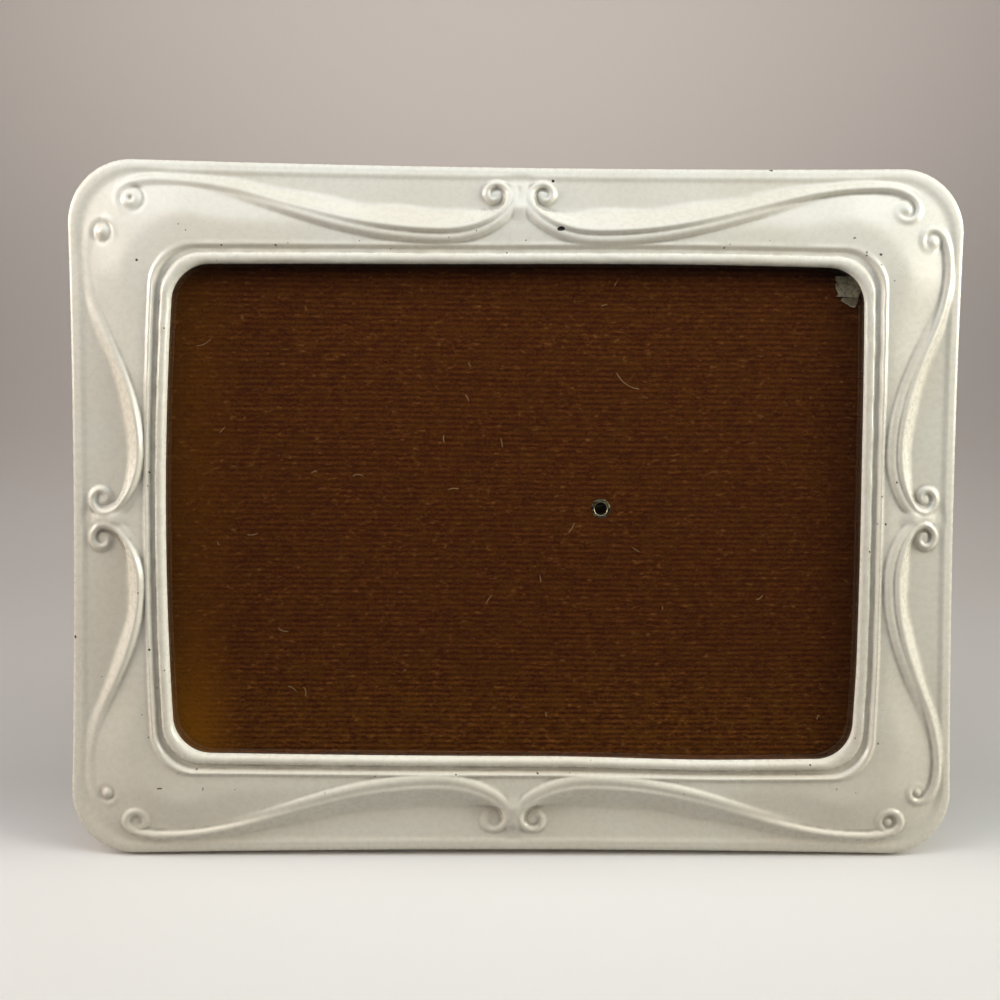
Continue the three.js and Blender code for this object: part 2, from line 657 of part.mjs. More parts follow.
// Hinge: two side knuckles on the swivelling leaf, one middle knuckle on the strut's leaf, one pin
const SIDE_KNUCKLE_FROM = CENTRE_KNUCKLE_WIDTH / 2 + SEAT_GAP;
const SIDE_KNUCKLE_TO = SIDE_KNUCKLE_FROM + SIDE_KNUCKLE_WIDTH;
const EAR_FROM = SIDE_KNUCKLE_TO + SEAT_GAP;
const KNUCKLE_NOTCH = KNUCKLE_RADIUS + SEAT_GAP;
const PIN_HOLE = PIN_RADIUS + BORE_CLEARANCE;

// Mirrors the right half of an outline, given from the bottom up, to the left.
function mirrored(half) {
  const right = half.map(([x, y]) => new THREE.Vector2(x, y));
  const left = half.map(([x, y]) => new THREE.Vector2(-x, y)).reverse();
  return [...right, ...left];
}

function swivelLeaf(swivel) {
  const up = HINGE_DROP;
  const half = LEAF_WIDTH / 2;
  const shape = new THREE.Shape();
  const notch = CENTRE_KNUCKLE_WIDTH / 2 + SEAT_GAP;
  const points = mirrored([
    [notch, -up + KNUCKLE_NOTCH], [notch, -up], [SIDE_KNUCKLE_TO, -up],
    [SIDE_KNUCKLE_TO, -up + KNUCKLE_NOTCH], [half, -up + KNUCKLE_NOTCH], [half, -up / 2],
    [LEAF_TOP_RADIUS, 0],
  ]);
  const right = points.slice(0, points.length / 2);
  const left = points.slice(points.length / 2);
  shape.setFromPoints(right);
  shape.absarc(0, 0, LEAF_TOP_RADIUS, 0, Math.PI);
  for (const point of left) shape.lineTo(point.x, point.y);
  let leaf = solidOf(plate(withHole(shape, PIVOT_BARREL + BORE_CLEARANCE, 0, 0), PLATE_FRONT, LEAF_REAR));
  const middle = (SIDE_KNUCKLE_FROM + SIDE_KNUCKLE_TO) / 2;
  for (const side of [-1, 1]) {
    const knuckle = crossBarrel(KNUCKLE_RADIUS, SIDE_KNUCKLE_WIDTH, side * middle, HINGE_BACK, -up);
    leaf = leaf.add(solidOf(knuckle));
  }
  leaf = leaf.subtract(solidOf(crossBarrel(PIN_HOLE, 2 * LEAF_WIDTH, 0, HINGE_BACK, -up)));
  addMesh(swivel, 'swivel_leaf', geometryOf(leaf), steel);
}

function withEyeletHoles(shape) {
  for (const side of [-1, 1]) {
    const x = side * STRUT_EYELET_SPACING / 2;
    withHole(shape, STRUT_EYELET_BARREL + BORE_CLEARANCE, x, -STRUT_EYELET_DROP);
  }
}

// Leaf on the strut. Its two ears come down on the swivelling leaf and stop the strut when it is open.
function strutLeaf(strut) {
  const front = KNUCKLE_RADIUS - LEAF_THICKNESS;
  const stop = 2 * KNUCKLE_RADIUS - 2 * LEAF_THICKNESS - front - SEAT_GAP;
  const earTop = (front * Math.cos(OPEN_ANGLE) + stop) / Math.sin(OPEN_ANGLE);
  const points = mirrored([
    [STRUT_LEAF_END / 2, -STRUT_LEAF_LENGTH], [LEAF_WIDTH / 2, -STRUT_LEAF_STRAIGHT],
    [LEAF_WIDTH / 2, earTop], [EAR_FROM, earTop], [EAR_FROM, -KNUCKLE_NOTCH],
    [CENTRE_KNUCKLE_WIDTH / 2, -KNUCKLE_NOTCH], [CENTRE_KNUCKLE_WIDTH / 2, 0],
  ]);
  const shape = new THREE.Shape(points);
  withEyeletHoles(shape);
  let leaf = solidOf(plate(shape, front, KNUCKLE_RADIUS));
  leaf = leaf.add(solidOf(crossBarrel(KNUCKLE_RADIUS, CENTRE_KNUCKLE_WIDTH, 0, 0, 0)));
  leaf = leaf.subtract(solidOf(crossBarrel(PIN_HOLE, CENTRE_KNUCKLE_WIDTH + SEAT_GAP, 0, 0, 0)));
  addMesh(strut, 'strut_leaf', geometryOf(leaf), steel);
}

const STRUT_REAR = KNUCKLE_RADIUS - LEAF_THICKNESS - SEAT_GAP;
const STRUT_FRONT = STRUT_REAR - STRUT_THICKNESS;

// Tapered strut board, its foot cut level with the floor when the strut is open
function strutBoard(strut) {
  const reach = OUTER_HEIGHT / 2;
  const points = mirrored([[STRUT_FOOT_WIDTH / 2, -reach], [STRUT_TOP_WIDTH / 2, -STRUT_TOP_DROP]]);
  const shape = new THREE.Shape(points);
  withEyeletHoles(shape);
  const board = solidOf(plate(shape, STRUT_FRONT, STRUT_REAR)).subtract(belowFloor(strut));
  addMesh(strut, 'strut_board', geometryOf(board), darkPaper);
}

function strutEyelets(strut) {
  const headFront = KNUCKLE_RADIUS + SEAT_GAP;
  const headRear = headFront + STRUT_EYELET_HEAD_HEIGHT;
  const footRear = STRUT_FRONT - SEAT_GAP;
  const footFront = footRear - STRUT_EYELET_HEAD_HEIGHT;
  const profile = [
    [STRUT_EYELET_BORE, footFront], [STRUT_EYELET_HEAD, footFront], [STRUT_EYELET_HEAD, footRear],
    [STRUT_EYELET_BARREL, footRear], [STRUT_EYELET_BARREL, headFront], [STRUT_EYELET_HEAD, headFront],
    [STRUT_EYELET_HEAD, headRear], [STRUT_EYELET_BORE, headRear], [STRUT_EYELET_BORE, footFront],
  ];
  for (const [name, side] of [['left', -1], ['right', 1]]) {
    const x = side * STRUT_EYELET_SPACING / 2;
    addMesh(strut, `strut_eyelet_${name}`, turned(profile, x, -STRUT_EYELET_DROP), plated);
  }
}

// Assembly: the leaning face, the swivel on its rivet, and the strut on its hinge
const part = new THREE.Group();
const face = new THREE.Group();
face.rotation.x = -LEAN;
face.position.z = -STANDING_FLAT;
part.add(face);

const swivel = new THREE.Group();
swivel.name = 'swivel';
swivel.position.set(PIVOT_OFFSET, 0, PIVOT_UP);
face.add(swivel);

const strut = new THREE.Group();
strut.name = 'strut';
strut.position.set(0, HINGE_BACK, -HINGE_DROP);
strut.rotation.x = OPEN_ANGLE;
swivel.add(strut);

castFrame(face);
sheets(face);
paperScrap(face);
turnButtons(face);
pivot(face);
swivelLeaf(swivel);
const pin = crossBarrel(PIN_RADIUS, 2 * SIDE_KNUCKLE_TO, 0, HINGE_BACK, -HINGE_DROP);
addMesh(swivel, 'hinge_pin', pin, steel);
strutLeaf(strut);
strutBoard(strut);
strutEyelets(strut);

// The origin is under the middle of the whole part, on the floor.
const box = new THREE.Box3().setFromObject(part, true);
face.position.y -= (box.min.y + box.max.y) / 2;

export default part;
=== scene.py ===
import json
import math
import random
from collections import namedtuple

import bpy
import numpy as np
from mathutils import Matrix, Vector, noise

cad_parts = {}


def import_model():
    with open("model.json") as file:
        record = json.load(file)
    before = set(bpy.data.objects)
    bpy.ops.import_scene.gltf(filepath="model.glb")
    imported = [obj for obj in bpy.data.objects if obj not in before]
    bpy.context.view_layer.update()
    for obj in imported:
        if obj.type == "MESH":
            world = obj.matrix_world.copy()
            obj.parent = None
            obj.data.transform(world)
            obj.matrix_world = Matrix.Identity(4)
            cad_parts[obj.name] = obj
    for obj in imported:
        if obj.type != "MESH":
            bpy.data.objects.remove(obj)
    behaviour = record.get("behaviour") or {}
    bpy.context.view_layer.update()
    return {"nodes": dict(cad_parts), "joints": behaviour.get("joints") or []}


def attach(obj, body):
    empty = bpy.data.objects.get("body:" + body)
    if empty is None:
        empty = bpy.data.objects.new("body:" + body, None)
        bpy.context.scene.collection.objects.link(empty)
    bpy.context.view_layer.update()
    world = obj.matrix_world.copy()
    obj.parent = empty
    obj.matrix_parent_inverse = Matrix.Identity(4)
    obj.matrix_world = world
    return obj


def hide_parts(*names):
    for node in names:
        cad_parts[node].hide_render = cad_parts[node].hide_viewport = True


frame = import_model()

# The face: X across, Y up and Z out of it, in millimetres from the pane's middle on the casting's rear plane
MM = 0.001
SWIVEL = next(joint for joint in frame["joints"] if joint["name"] == "strut_swivel")
PIVOT = Vector(SWIVEL["pos_m"])
ACROSS = Vector((1, 0, 0))
OUT = Vector(SWIVEL["axis"])
UP = OUT.cross(ACROSS)
PANE_UP = [v.co.dot(UP) for v in frame["nodes"]["glass_pane"].data.vertices]
FACE = Matrix((ACROSS, UP, OUT)).transposed().to_4x4()
FACE.translation = UP * (min(PANE_UP) + max(PANE_UP)) / 2 + OUT * PIVOT.dot(OUT)
FACE_MM = FACE @ Matrix.Scale(MM, 4)
INTO_FACE = FACE_MM.inverted()
PIVOT_X, PIVOT_Y, _ = INTO_FACE @ PIVOT


def face_box(node):
    """Lowest and highest corner of a CAD node, measured along the face."""
    points = np.array([INTO_FACE @ v.co for v in frame["nodes"][node].data.vertices])
    return points.min(0), points.max(0)


# Casting: half sizes across and up, its lap over the sheets, radii and bows of its outline and of the opening
LAP = 5, 3.5
SHEET = face_box("glass_pane")[1][:2]
OUTER = face_box("cast_frame")[1][:2]
SIGHT = SHEET - LAP
OUTER_RADIUS, SIGHT_RADIUS, REBATE_RADIUS = 15.5, 9, 7.6
OUTER_BOW, SIGHT_BOW = -0.9, 0.6

# Section of the casting, from the outer edge to the opening, then back behind
EDGE_HEIGHT = 4.0
RIM_CREST, RIM_RISE = 1.7, 0.85
FIELD_START, FIELD_END = 3.7, 5.5
VALLEY_LEVEL, INNER_LEVEL, FIELD_LEAST = 4.7, 7.5, 0.1
RIDGE_CREST, RIDGE_RISE, RIDGE_WORN = 4.6, 0.6, 0.85
GROOVE_OUTER, GROOVE_LEVEL = 3.5, 6.9
BEAD_WIDTH, BEAD_RISE, BEAD_WORN = 2.5, 1.4, 0.4
REBATE_DEPTH, REBATE_CLEARANCE, SEAT_WALL = 6.2, 0.6, 3.3
REAR_LAND, CHANNEL_SLOPE, CHANNEL_INNER, CHANNEL_OUTER = 5, 1, 4.9, 1.7

# Steps across the rim, valley, field, ridge and its fall, groove and bead
RIM_STEPS, VALLEY_STEPS, FIELD_STEPS, RIDGE_STEPS = 8, 9, 58, 6
FALL_STEPS, GROOVE_STEPS, BEAD_STEPS = 8, 5, 17

# Bosses behind, with screw holes: radius, bore, levels of their end, root and hole's bottom, and sides
BOSS_RADIUS, BOSS_BORE, BOSS_END, BOSS_ROOT, BOSS_HOLE, BOSS_SIDES = 3.2, 1.4, -0.4, 4.0, 3.3, 32

# Flat shelf round the opening: width at the sides, top, bottom and corners, its round edge, and the stretch
# over which the width changes into a corner
SHELF_SIDE, SHELF_TOP, SHELF_BOTTOM, SHELF_CORNER, SHELF_EDGE = 2.6, 4.3, 3.0, 6.5, 1.6
SHELF_TURN = -13, 3

# Unevenness of the opening: how far its edges stand out, the stretches over which they begin to, and the
# shares of the half size from which a place lies beside or above it
LEFT_SWELL, RIGHT_SWELL, RIGHT_LIFT, TOP_LIFT, BOTTOM_RISE, BOTTOM_DROP = 1.3, 0.5, 0.35, 0.8, 0.3, 0.8
RIGHT_SPAN, LIFT_SPAN, TOP_SPAN, BOTTOM_SPAN = (-60, -35), (5, 55), (-30, 55), (5, 55)
BESIDE, ABOVE = (0.8, 0.96), (0.74, 0.94)

# Waves of the hand-made surface: height and size on the field, bead and ridge, and the step between seeds
FIELD_WAVE, FIELD_WAVE_SIZE = 0.07, 9
BEAD_WAVE, BEAD_WAVE_SIZE = 0.22, 4
RIDGE_WAVE, RIDGE_WAVE_SIZE = 0.3, 6
SEED_ACROSS, SEED_UP = 17.3, 5.1

# Stretches over which unevenness, relief, the bead's waves and the painted crease shade with grime begin
# or end, the share of the half size where wear begins, and a hair's width
UNEVEN_BAND = 11, 5.5
RELIEF_START, RELIEF_END = (1.9, 3.4), (3.6, 4.8)
BEAD_START, BEAD_END = (4.0, 2.5), (-0.1, 0.6)
SHADE_AND_GRIME_START = 3.2, 5
WORN_EDGE = 0.9, 1.0
TOUCH = 0.01

# Scrolls: volutes, the crest that carries them, the roll beside it and the apron on the rim's side
CENTRE_VOLUTE, VOLUTE_INNER, CENTRE_CURL, CORNER_CURL = 3.5, 1.2, 2.0, 1.0
CENTRE_TURNS, CORNER_TURNS = 1.05, 0.95
SHOULDER_BACK = 6.8
STEM_LEAVE, STEM_ARRIVE, SWEEP_LEAVE, SWEEP_ARRIVE, TURN_REACH = 0.47, 0.58, 0.43, 0.33, 0.62
CREST_HEIGHT, CREST_HALF, VOLUTE_HALF, RIB_POWER = 1.6, 1.25, 0.9, 0.65
APRON_BELLY, APRON_SHOULDER, APRON_FOOT = 6.0, 1.8, 0.2
POCKET_RISE, SIDE_POCKET_RISE = 0.12, 0.3
ROLL_GAP, ROLL_HALF, ROLL_HEIGHT, STEM_ROLL = 2.1, 1.35, 0.95, 0.5
CENTRE_EYE, EYE_HEIGHT, DISH_RISE = 1.05, 0.8, 0.25
MOAT_HALF, MOAT_DEPTH = 0.7, 0.35
WEB_RISE, WEB_BACK, WEB_LENGTH, WEB_ROUND, WEB_FALL, WEB_HALF = 1.3, 2.2, 5.8, 1, 4.0, 2.2
VOLUTE_STEPS, STEM_STEPS, SWEEP_STEPS, TURN_STEPS = 56, 40, 60, 26

# Fading of the scrolls: tips of volutes and hooks, strength that weak ends win back, the apron's ragged edge,
# and the blends at stem, shoulder, roll, eye and dish
TIP_HALF, ROLL_FADE, RING_TIP, HOOK_TIP, WON_BACK, HOOK_STRONG = 0.7, 0.12, 0.55, 0.25, 0.6, 0.5
APRON_START, APRON_LEAST, APRON_RAGGED, RAGGED_PITCH = 1.2, 0.9, 0.06, 0.31
STEM_BLEND, SHOULDER_BLEND, ROLL_FULL, BORE_FLARE = 1.5, 3, 0.6, 1.3
DISH_EDGE = 3.2, 1.8

# Reach of a scroll: past the pair's middle, short of the corner and in from the outer edge
REACH_BACK, REACH_SHORT, REACH_IN = 4, 9, 23.5

# A scroll's outer end: inset and depth of its eye, radius of its turn, height of the rib left there, radii
# of the eye and of the hollow in it, and strength of the volute at its other end
Corner = namedtuple("Corner", "inset depth radius hook eye bore ring")

# Top, bottom, left and right rail: ways along and in, half length, middle of the scroll pair, place of its
# central eyes and bellies, depth of its shoulders, strength of apron, roll and crest, and both outer ends
Rail = namedtuple(
    "Rail", "along inward half middle eye depth belly_along belly_depth shoulder apron roll crest corners")
RAILS = (
    Rail((1, 0), (0, -1), OUTER[0], 0.0, 6.2, 7.8, 18.8, 18.8, 4.8, 1.0, 1.0, 1.0,
         (Corner(15.2, 10.2, 3.2, 0.55, 1.5, 0, 0.9), Corner(15.8, 9.8, 3.4, 0.2, 2.3, 0.8, 0.9))),
    Rail((1, 0), (0, 1), OUTER[0], -0.3, 5.4, 9.0, 18.8, 19.7, 4.7, 1.0, 1.0, 0.5,
         (Corner(16.2, 8.5, 3.3, 0.6, 0.7, 0, 0.45), Corner(16.7, 8.5, 3.0, 0.6, 0, 0, 0.2))),
    Rail((0, 1), (1, 0), OUTER[1], -2.0, 5.2, 8.4, 16.4, 18.0, 4.5, 0.62, 0.0, 1.0,
         (Corner(17.9, 8.9, 3.2, 0.05, 1.7, 0, 0.75), Corner(15.6, 9.3, 2.6, 0.12, 1.1, 0, 0.5))),
    Rail((0, 1), (-1, 0), OUTER[1], -0.6, 5.2, 8.6, 16.0, 17.9, 3.7, 0.62, 1.0, 1.0,
         (Corner(18.0, 8.3, 3.0, 0.5, 1.5, 0, 0.9), Corner(16.1, 9.0, 2.3, 0.5, 0.8, 0, 0.85))),
)

# Chips in the paint: place across and up, half length and half width
CHIPS = (
    (9.9, 69.0, 0.95, 0.5), (61.8, 84.6, 0.5, 0.3), (8.1, 81.3, 0.35, 0.3), (88.2, 63.9, 0.35, 0.3),
    (81.7, 67.8, 0.3, 0.25), (-92.3, 60.4, 0.3, 0.35), (-108.7, -31.3, 0.3, 0.5), (-87.4, -68.3, 0.6, 0.2),
    (-76.8, -68.5, 0.25, 0.5),
)

# Small pits, scattered over the shelf and mouldings round the opening, and the range of their radii; the
# level above which paint is chipped, and the distance given where it isn't
PIT_SEED, PIT_COUNT, PIT_ROWS, PIT_CLEAR = 5, 60, 46, 4
PIT_RADII = 0.08, 0.24
CHIPPED_ABOVE, NO_CHIP = 0.5, 9.0


def lerp(a, b, share):
    return a + (b - a) * share


def smooth(low, high, value):
    """0 below low, 1 above high and an even S between them."""
    share = np.clip((value - low) / (high - low), 0, 1)
    return share * share * (3 - 2 * share)


def blend(a, b, power=4):
    """The larger of two rises, rounded where they meet."""
    return (a ** power + b ** power) ** (1 / power)


# Meshes
def new_object(name, data):
    made = bpy.data.objects.new(name, data)
    bpy.context.scene.collection.objects.link(made)
    return made


def new_piece(name, points, faces, finish, body, replaced=()):
    """A smooth mesh from points in face millimetres, riding on a body."""
    mesh = bpy.data.meshes.new(name)
    mesh.from_pydata([tuple(p) for p in points], [], [tuple(f) for f in faces], shade_flat=False)
    mesh.transform(FACE_MM)
    mesh.update()
    piece = new_object(name, mesh)
    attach(piece, body)
    if replaced:
        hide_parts(*replaced)
    mesh.materials.append(finish)
    return piece


def set_values(mesh, name, values):
    """Stores a number at each point of a mesh, for its finish to read."""
    mesh.attributes.new(name, "FLOAT", "POINT").data.foreach_set("value", np.array(values, np.float32))


def ring_faces(rows, columns, close_rows, first=0):
    """Quads of a grid whose columns run round a ring, and whose rows may close too."""
    lower = np.arange(rows if close_rows else rows - 1)
    upper = (lower + 1) % rows
    left = np.arange(columns)
    right = (left + 1) % columns
    quads = np.stack([
        lower[:, None] * columns + left, lower[:, None] * columns + right,
        upper[:, None] * columns + right, upper[:, None] * columns + left,
    ], axis=2)
    return first + quads.reshape(-1, 4)


def turned(profile, x, y, sides):
    """Points and faces of a ring turned about an axis out of the face, from (radius, height) pairs."""
    angles = np.arange(sides) * math.tau / sides
    points = [
        (x + radius * math.cos(a), y + radius * math.sin(a), height)
        for radius, height in profile for a in angles
    ]
    return points, ring_faces(len(profile), sides, True)


# Casting: contours
def spread(stops, steps):
    """Shares along a side, with each stretch between two stops cut into its own number of steps."""
    parts = [np.linspace(a, b, n, endpoint=False) for a, b, n in zip(stops, stops[1:], steps)]
    return np.concatenate(parts)[1:]


# Shares along corners and sides, finest at the scrolls' middles and outer ends
CORNER_SHARES = np.linspace(0, 1, 70)
LONG_SHARES = spread((0, 0.06, 0.43, 0.57, 0.94, 1), (30, 110, 78, 110, 30))
SHORT_SHARES = spread((0, 0.08, 0.4, 0.6, 0.92, 1), (30, 74, 78, 74, 30))


def contour(half, radius, bow):
    """Points round a rectangle with round corners and bowed sides, from the start of its top right corner."""
    points = []
    for quarter in range(4):
        start = quarter * math.pi / 2
        facing = np.array((1 if quarter in (0, 3) else -1, 1 if quarter < 2 else -1))
        angles = start + CORNER_SHARES * math.pi / 2
        arc = facing * (half - radius) + radius * np.stack((np.cos(angles), np.sin(angles)), 1)
        outward = np.array((-math.sin(start), math.cos(start)))
        along = np.array((-outward[1], outward[0]))
        length = 2 * abs(arc[-1] @ along)
        shares = (LONG_SHARES if quarter % 2 == 0 else SHORT_SHARES)[:, None]
        points += [arc, arc[-1] + along * length * shares + outward * bow * 4 * shares * (1 - shares)]
    return np.concatenate(points)


def rounded_distance(points, half, radius, bow):
    """Distance outside a rectangle with round corners and bowed sides; negative inside it."""
    swelled = half + bow * (1 - (points[:, ::-1] / half[::-1]) ** 2)
    beyond = np.abs(points) - (swelled - radius)
    outside = np.hypot(*np.maximum(beyond, 0).T)
    return outside + np.minimum(beyond.max(1), 0) - radius


def shelf_width(points):
    """Width of the flat shelf at places on the face."""
    beyond = np.abs(points) - (SIGHT + FIELD_END - SIGHT_RADIUS)
    corner = smooth(*SHELF_TURN, beyond.min(1))
    along = np.where(points[:, 1] > 0, SHELF_TOP, SHELF_BOTTOM)
    return lerp(np.where(beyond[:, 0] > beyond[:, 1], SHELF_SIDE, along), SHELF_CORNER, corner)


def field_at(points):
    """Level of the plain field at places on the face: a flat shelf, then a slope down to the rim's valley."""
    inner, outer = SIGHT + FIELD_END, OUTER - FIELD_START
    out = rounded_distance(points, inner, *shape_at(inner)) - shelf_width(points)
    left = np.maximum(-rounded_distance(points, outer, *shape_at(outer)), 0)
    out = (out + np.hypot(out, SHELF_EDGE)) / 2
    share = np.clip(out / np.maximum(out + left, FIELD_LEAST), 0, 1)
    return lerp(INNER_LEVEL, VALLEY_LEVEL, share)


def front_rows():
    """Contours of the front: half sizes, level of the ground and rise of the mouldings above it."""
    rows = []
    for angle in np.linspace(0, math.pi / 2, RIM_STEPS):
        rows.append((OUTER - RIM_CREST * (1 - math.cos(angle)), EDGE_HEIGHT, RIM_RISE * math.sin(angle)))
    for share in np.linspace(0, 1, VALLEY_STEPS)[1:-1]:
        rows.append((OUTER - lerp(RIM_CREST, FIELD_START, share), lerp(EDGE_HEIGHT, VALLEY_LEVEL, share),
                     lerp(RIM_RISE, 0, smooth(0, 1, share))))
    for share in np.linspace(0, 1, FIELD_STEPS)[:-1]:
        rows.append((lerp(OUTER - FIELD_START, SIGHT + FIELD_END, share), INNER_LEVEL, 0))
    for share in np.linspace(0, 1, RIDGE_STEPS):
        rise = RIDGE_RISE * smooth(0, 1, share)
        rows.append((SIGHT + lerp(FIELD_END, RIDGE_CREST, share), INNER_LEVEL, rise))
    for share in np.linspace(0, 1, FALL_STEPS)[1:]:
        fall = smooth(0, 1, share)
        rows.append((SIGHT + lerp(RIDGE_CREST, GROOVE_OUTER, share), lerp(INNER_LEVEL, GROOVE_LEVEL, fall),
                     lerp(RIDGE_RISE, 0, fall)))
    for share in np.linspace(0, 1, GROOVE_STEPS)[1:-1]:
        rows.append((SIGHT + lerp(GROOVE_OUTER, BEAD_WIDTH, share), GROOVE_LEVEL, 0))
    for angle in np.linspace(0, math.pi, BEAD_STEPS):
        step = BEAD_WIDTH / 2 * (1 - np.cos(angle))
        rows.append((SIGHT + BEAD_WIDTH - step, GROOVE_LEVEL, BEAD_RISE * np.sin(angle)))
    return rows


def rear_rows():
    """Contours behind: half sizes, radius, bow and level, from the opening back to the outer edge."""
    rebate = SHEET + REBATE_CLEARANCE
    seat = rebate + SEAT_WALL
    land = OUTER - REAR_LAND
    inner, outer = seat + CHANNEL_SLOPE, land - CHANNEL_SLOPE
    return [
        (SIGHT, SIGHT_RADIUS, SIGHT_BOW, REBATE_DEPTH), (rebate, REBATE_RADIUS, 0, REBATE_DEPTH),
        (rebate, REBATE_RADIUS, 0, 0), (seat, *shape_at(seat), 0),
        (inner, *shape_at(inner), CHANNEL_INNER),
        (outer, *shape_at(outer), CHANNEL_OUTER),
        (land, *shape_at(land), 0), (OUTER, OUTER_RADIUS, OUTER_BOW, 0),
    ]


def uneven(plan, weight):
    """Contour points moved by the opening's own unevenness, in proportion to a weight."""
    x, y = plan.T
    side = smooth(*BESIDE, np.abs(x) / SIGHT[0])
    level = smooth(*ABOVE, np.abs(y) / SIGHT[1])
    left = LEFT_SWELL * np.clip(1 - (y / SIGHT[1]) ** 2, 0, 1)
    right = RIGHT_SWELL * smooth(*RIGHT_SPAN, y) + RIGHT_LIFT * smooth(*LIFT_SPAN, y)
    top = TOP_LIFT * smooth(*TOP_SPAN, x)
    bottom = lerp(-BOTTOM_RISE, BOTTOM_DROP, smooth(*BOTTOM_SPAN, x))
    shift = np.stack((side * np.where(x > 0, right, -left), level * np.where(y > 0, top, -bottom)), 1)
    return plan + shift * weight


def shape_at(half):
    """Radius and bow of the casting's contour with these half sizes."""
    share = (OUTER[0] - half[0]) / (OUTER[0] - SIGHT[0])
    return lerp(OUTER_RADIUS, SIGHT_RADIUS, share), lerp(OUTER_BOW, SIGHT_BOW, share)


# Casting: scroll lines from the pair's middle to the corner, as along, depth, apron, roll, half width, height
# and 1 on the stretch beside the apron and pocket
ALONG, INWARD = np.eye(2)


def volute(centre, outer_radius, start_angle, turns, curl, heights, roll=0.0):
    """A line that winds into a volute from its outer radius."""
    shares = np.linspace(0, 1, VOLUTE_STEPS)
    angles = start_angle + shares * turns * math.tau
    radii = lerp(VOLUTE_INNER, outer_radius, (1 - shares) ** curl)
    none = np.zeros(VOLUTE_STEPS)
    rolled = roll * smooth(ROLL_FADE, 0, shares)
    return np.stack((
        centre[0] + radii * np.cos(angles), centre[1] + radii * np.sin(angles), none, rolled,
        lerp(VOLUTE_HALF, TIP_HALF, shares), lerp(*heights, shares), none,
    ), 1)


def run_between(start, leave, arrive, end, steps):
    """A smooth run that leaves one point and arrives at the next; the other measures change evenly."""
    share = np.linspace(0, 1, steps)[:, None]
    gap = end[:2] - start[:2]
    second = start[:2] + leave * gap
    third = end[:2] - arrive * gap
    line = ((1 - share) ** 3 * start[:2] + 3 * (1 - share) ** 2 * share * second
            + 3 * (1 - share) * share ** 2 * third + share ** 3 * end[:2])
    return np.hstack((line, lerp(start[2:], end[2:], smooth(0, 1, share))))[1:]


def scroll_line(rail, side):
    """A scroll's whole line, its stretch beside the apron, its corner's place along the rail and its end."""
    end_at = rail.corners[0 if side > 0 else 1]
    corner = rail.half - end_at.inset - side * rail.middle
    strong = lerp(end_at.ring, 1, WON_BACK)
    fading = lerp(end_at.hook, 1, WON_BACK * smooth(0, HOOK_STRONG, end_at.hook))
    belly_depth = rail.belly_depth - ROLL_GAP * rail.roll
    apron = APRON_BELLY * rail.apron
    start = np.array((rail.eye - CENTRE_VOLUTE, rail.depth, 0, STEM_ROLL, VOLUTE_HALF, strong, 1))
    belly = np.array((rail.belly_along, belly_depth, apron, rail.roll, CREST_HALF, rail.crest, 1))
    shoulder = np.array((corner - SHOULDER_BACK, rail.shoulder, APRON_SHOULDER, 0, CREST_HALF, fading, 1))
    end = np.array((corner + end_at.radius, end_at.depth, 0, 0, VOLUTE_HALF, end_at.hook, 0))
    stem = run_between(start, STEM_LEAVE * INWARD, STEM_ARRIVE * ALONG, belly, STEM_STEPS)
    sweep = run_between(belly, SWEEP_LEAVE * ALONG, SWEEP_ARRIVE * ALONG, shoulder, SWEEP_STEPS)
    turn = run_between(shoulder, TURN_REACH * ALONG, TURN_REACH * INWARD, end, TURN_STEPS)
    middle = rail.eye, rail.depth
    heights = strong, RING_TIP * end_at.ring
    inner = volute(middle, CENTRE_VOLUTE, math.pi, CENTRE_TURNS, CENTRE_CURL, heights, STEM_ROLL)[::-1]
    heights = max(end_at.hook, HOOK_TIP), HOOK_TIP * end_at.hook
    outer = volute((corner, end_at.depth), end_at.radius, 0, CORNER_TURNS, CORNER_CURL, heights)[1:]
    return np.concatenate((inner, stem, sweep, turn, outer)), np.concatenate((stem, sweep)), corner, end_at


def nearest(points, line):
    """Distance from each point to a line, positive on the opening's side, and the line's measures there."""
    best = np.full(len(points), np.inf)
    signed = np.zeros(len(points))
    measures = np.zeros((len(points), line.shape[1]))
    for a, b in zip(line[:-1], line[1:]):
        run = b[:2] - a[:2]
        offset = points - a[:2]
        share = np.clip(offset @ run / (run @ run), 0, 1)
        gap = offset - share[:, None] * run
        distance = np.hypot(gap[:, 0], gap[:, 1])
        closer = distance < best
        best[closer] = distance[closer]
        side = np.sign(run[0] * offset[closer, 1] - run[1] * offset[closer, 0])
        signed[closer] = distance[closer] * side
        measures[closer] = lerp(a, b, share[closer, None])
    return signed, measures


def rounded(side, half):
    """Section of a round rib: 1 on its line and 0 at its half width."""
    return np.clip(1 - (side / half) ** 2, 0, 1) ** RIB_POWER


def on_face(local, rail, side):
    """Face coordinates of places given along a rail from its scrolls' middle and in from its outer edge."""
    edge = OUTER[1] if rail.along[0] else OUTER[0]
    along = np.outer(side * local[:, 0] + rail.middle, rail.along)
    return along + np.outer(local[:, 1] - edge, rail.inward)


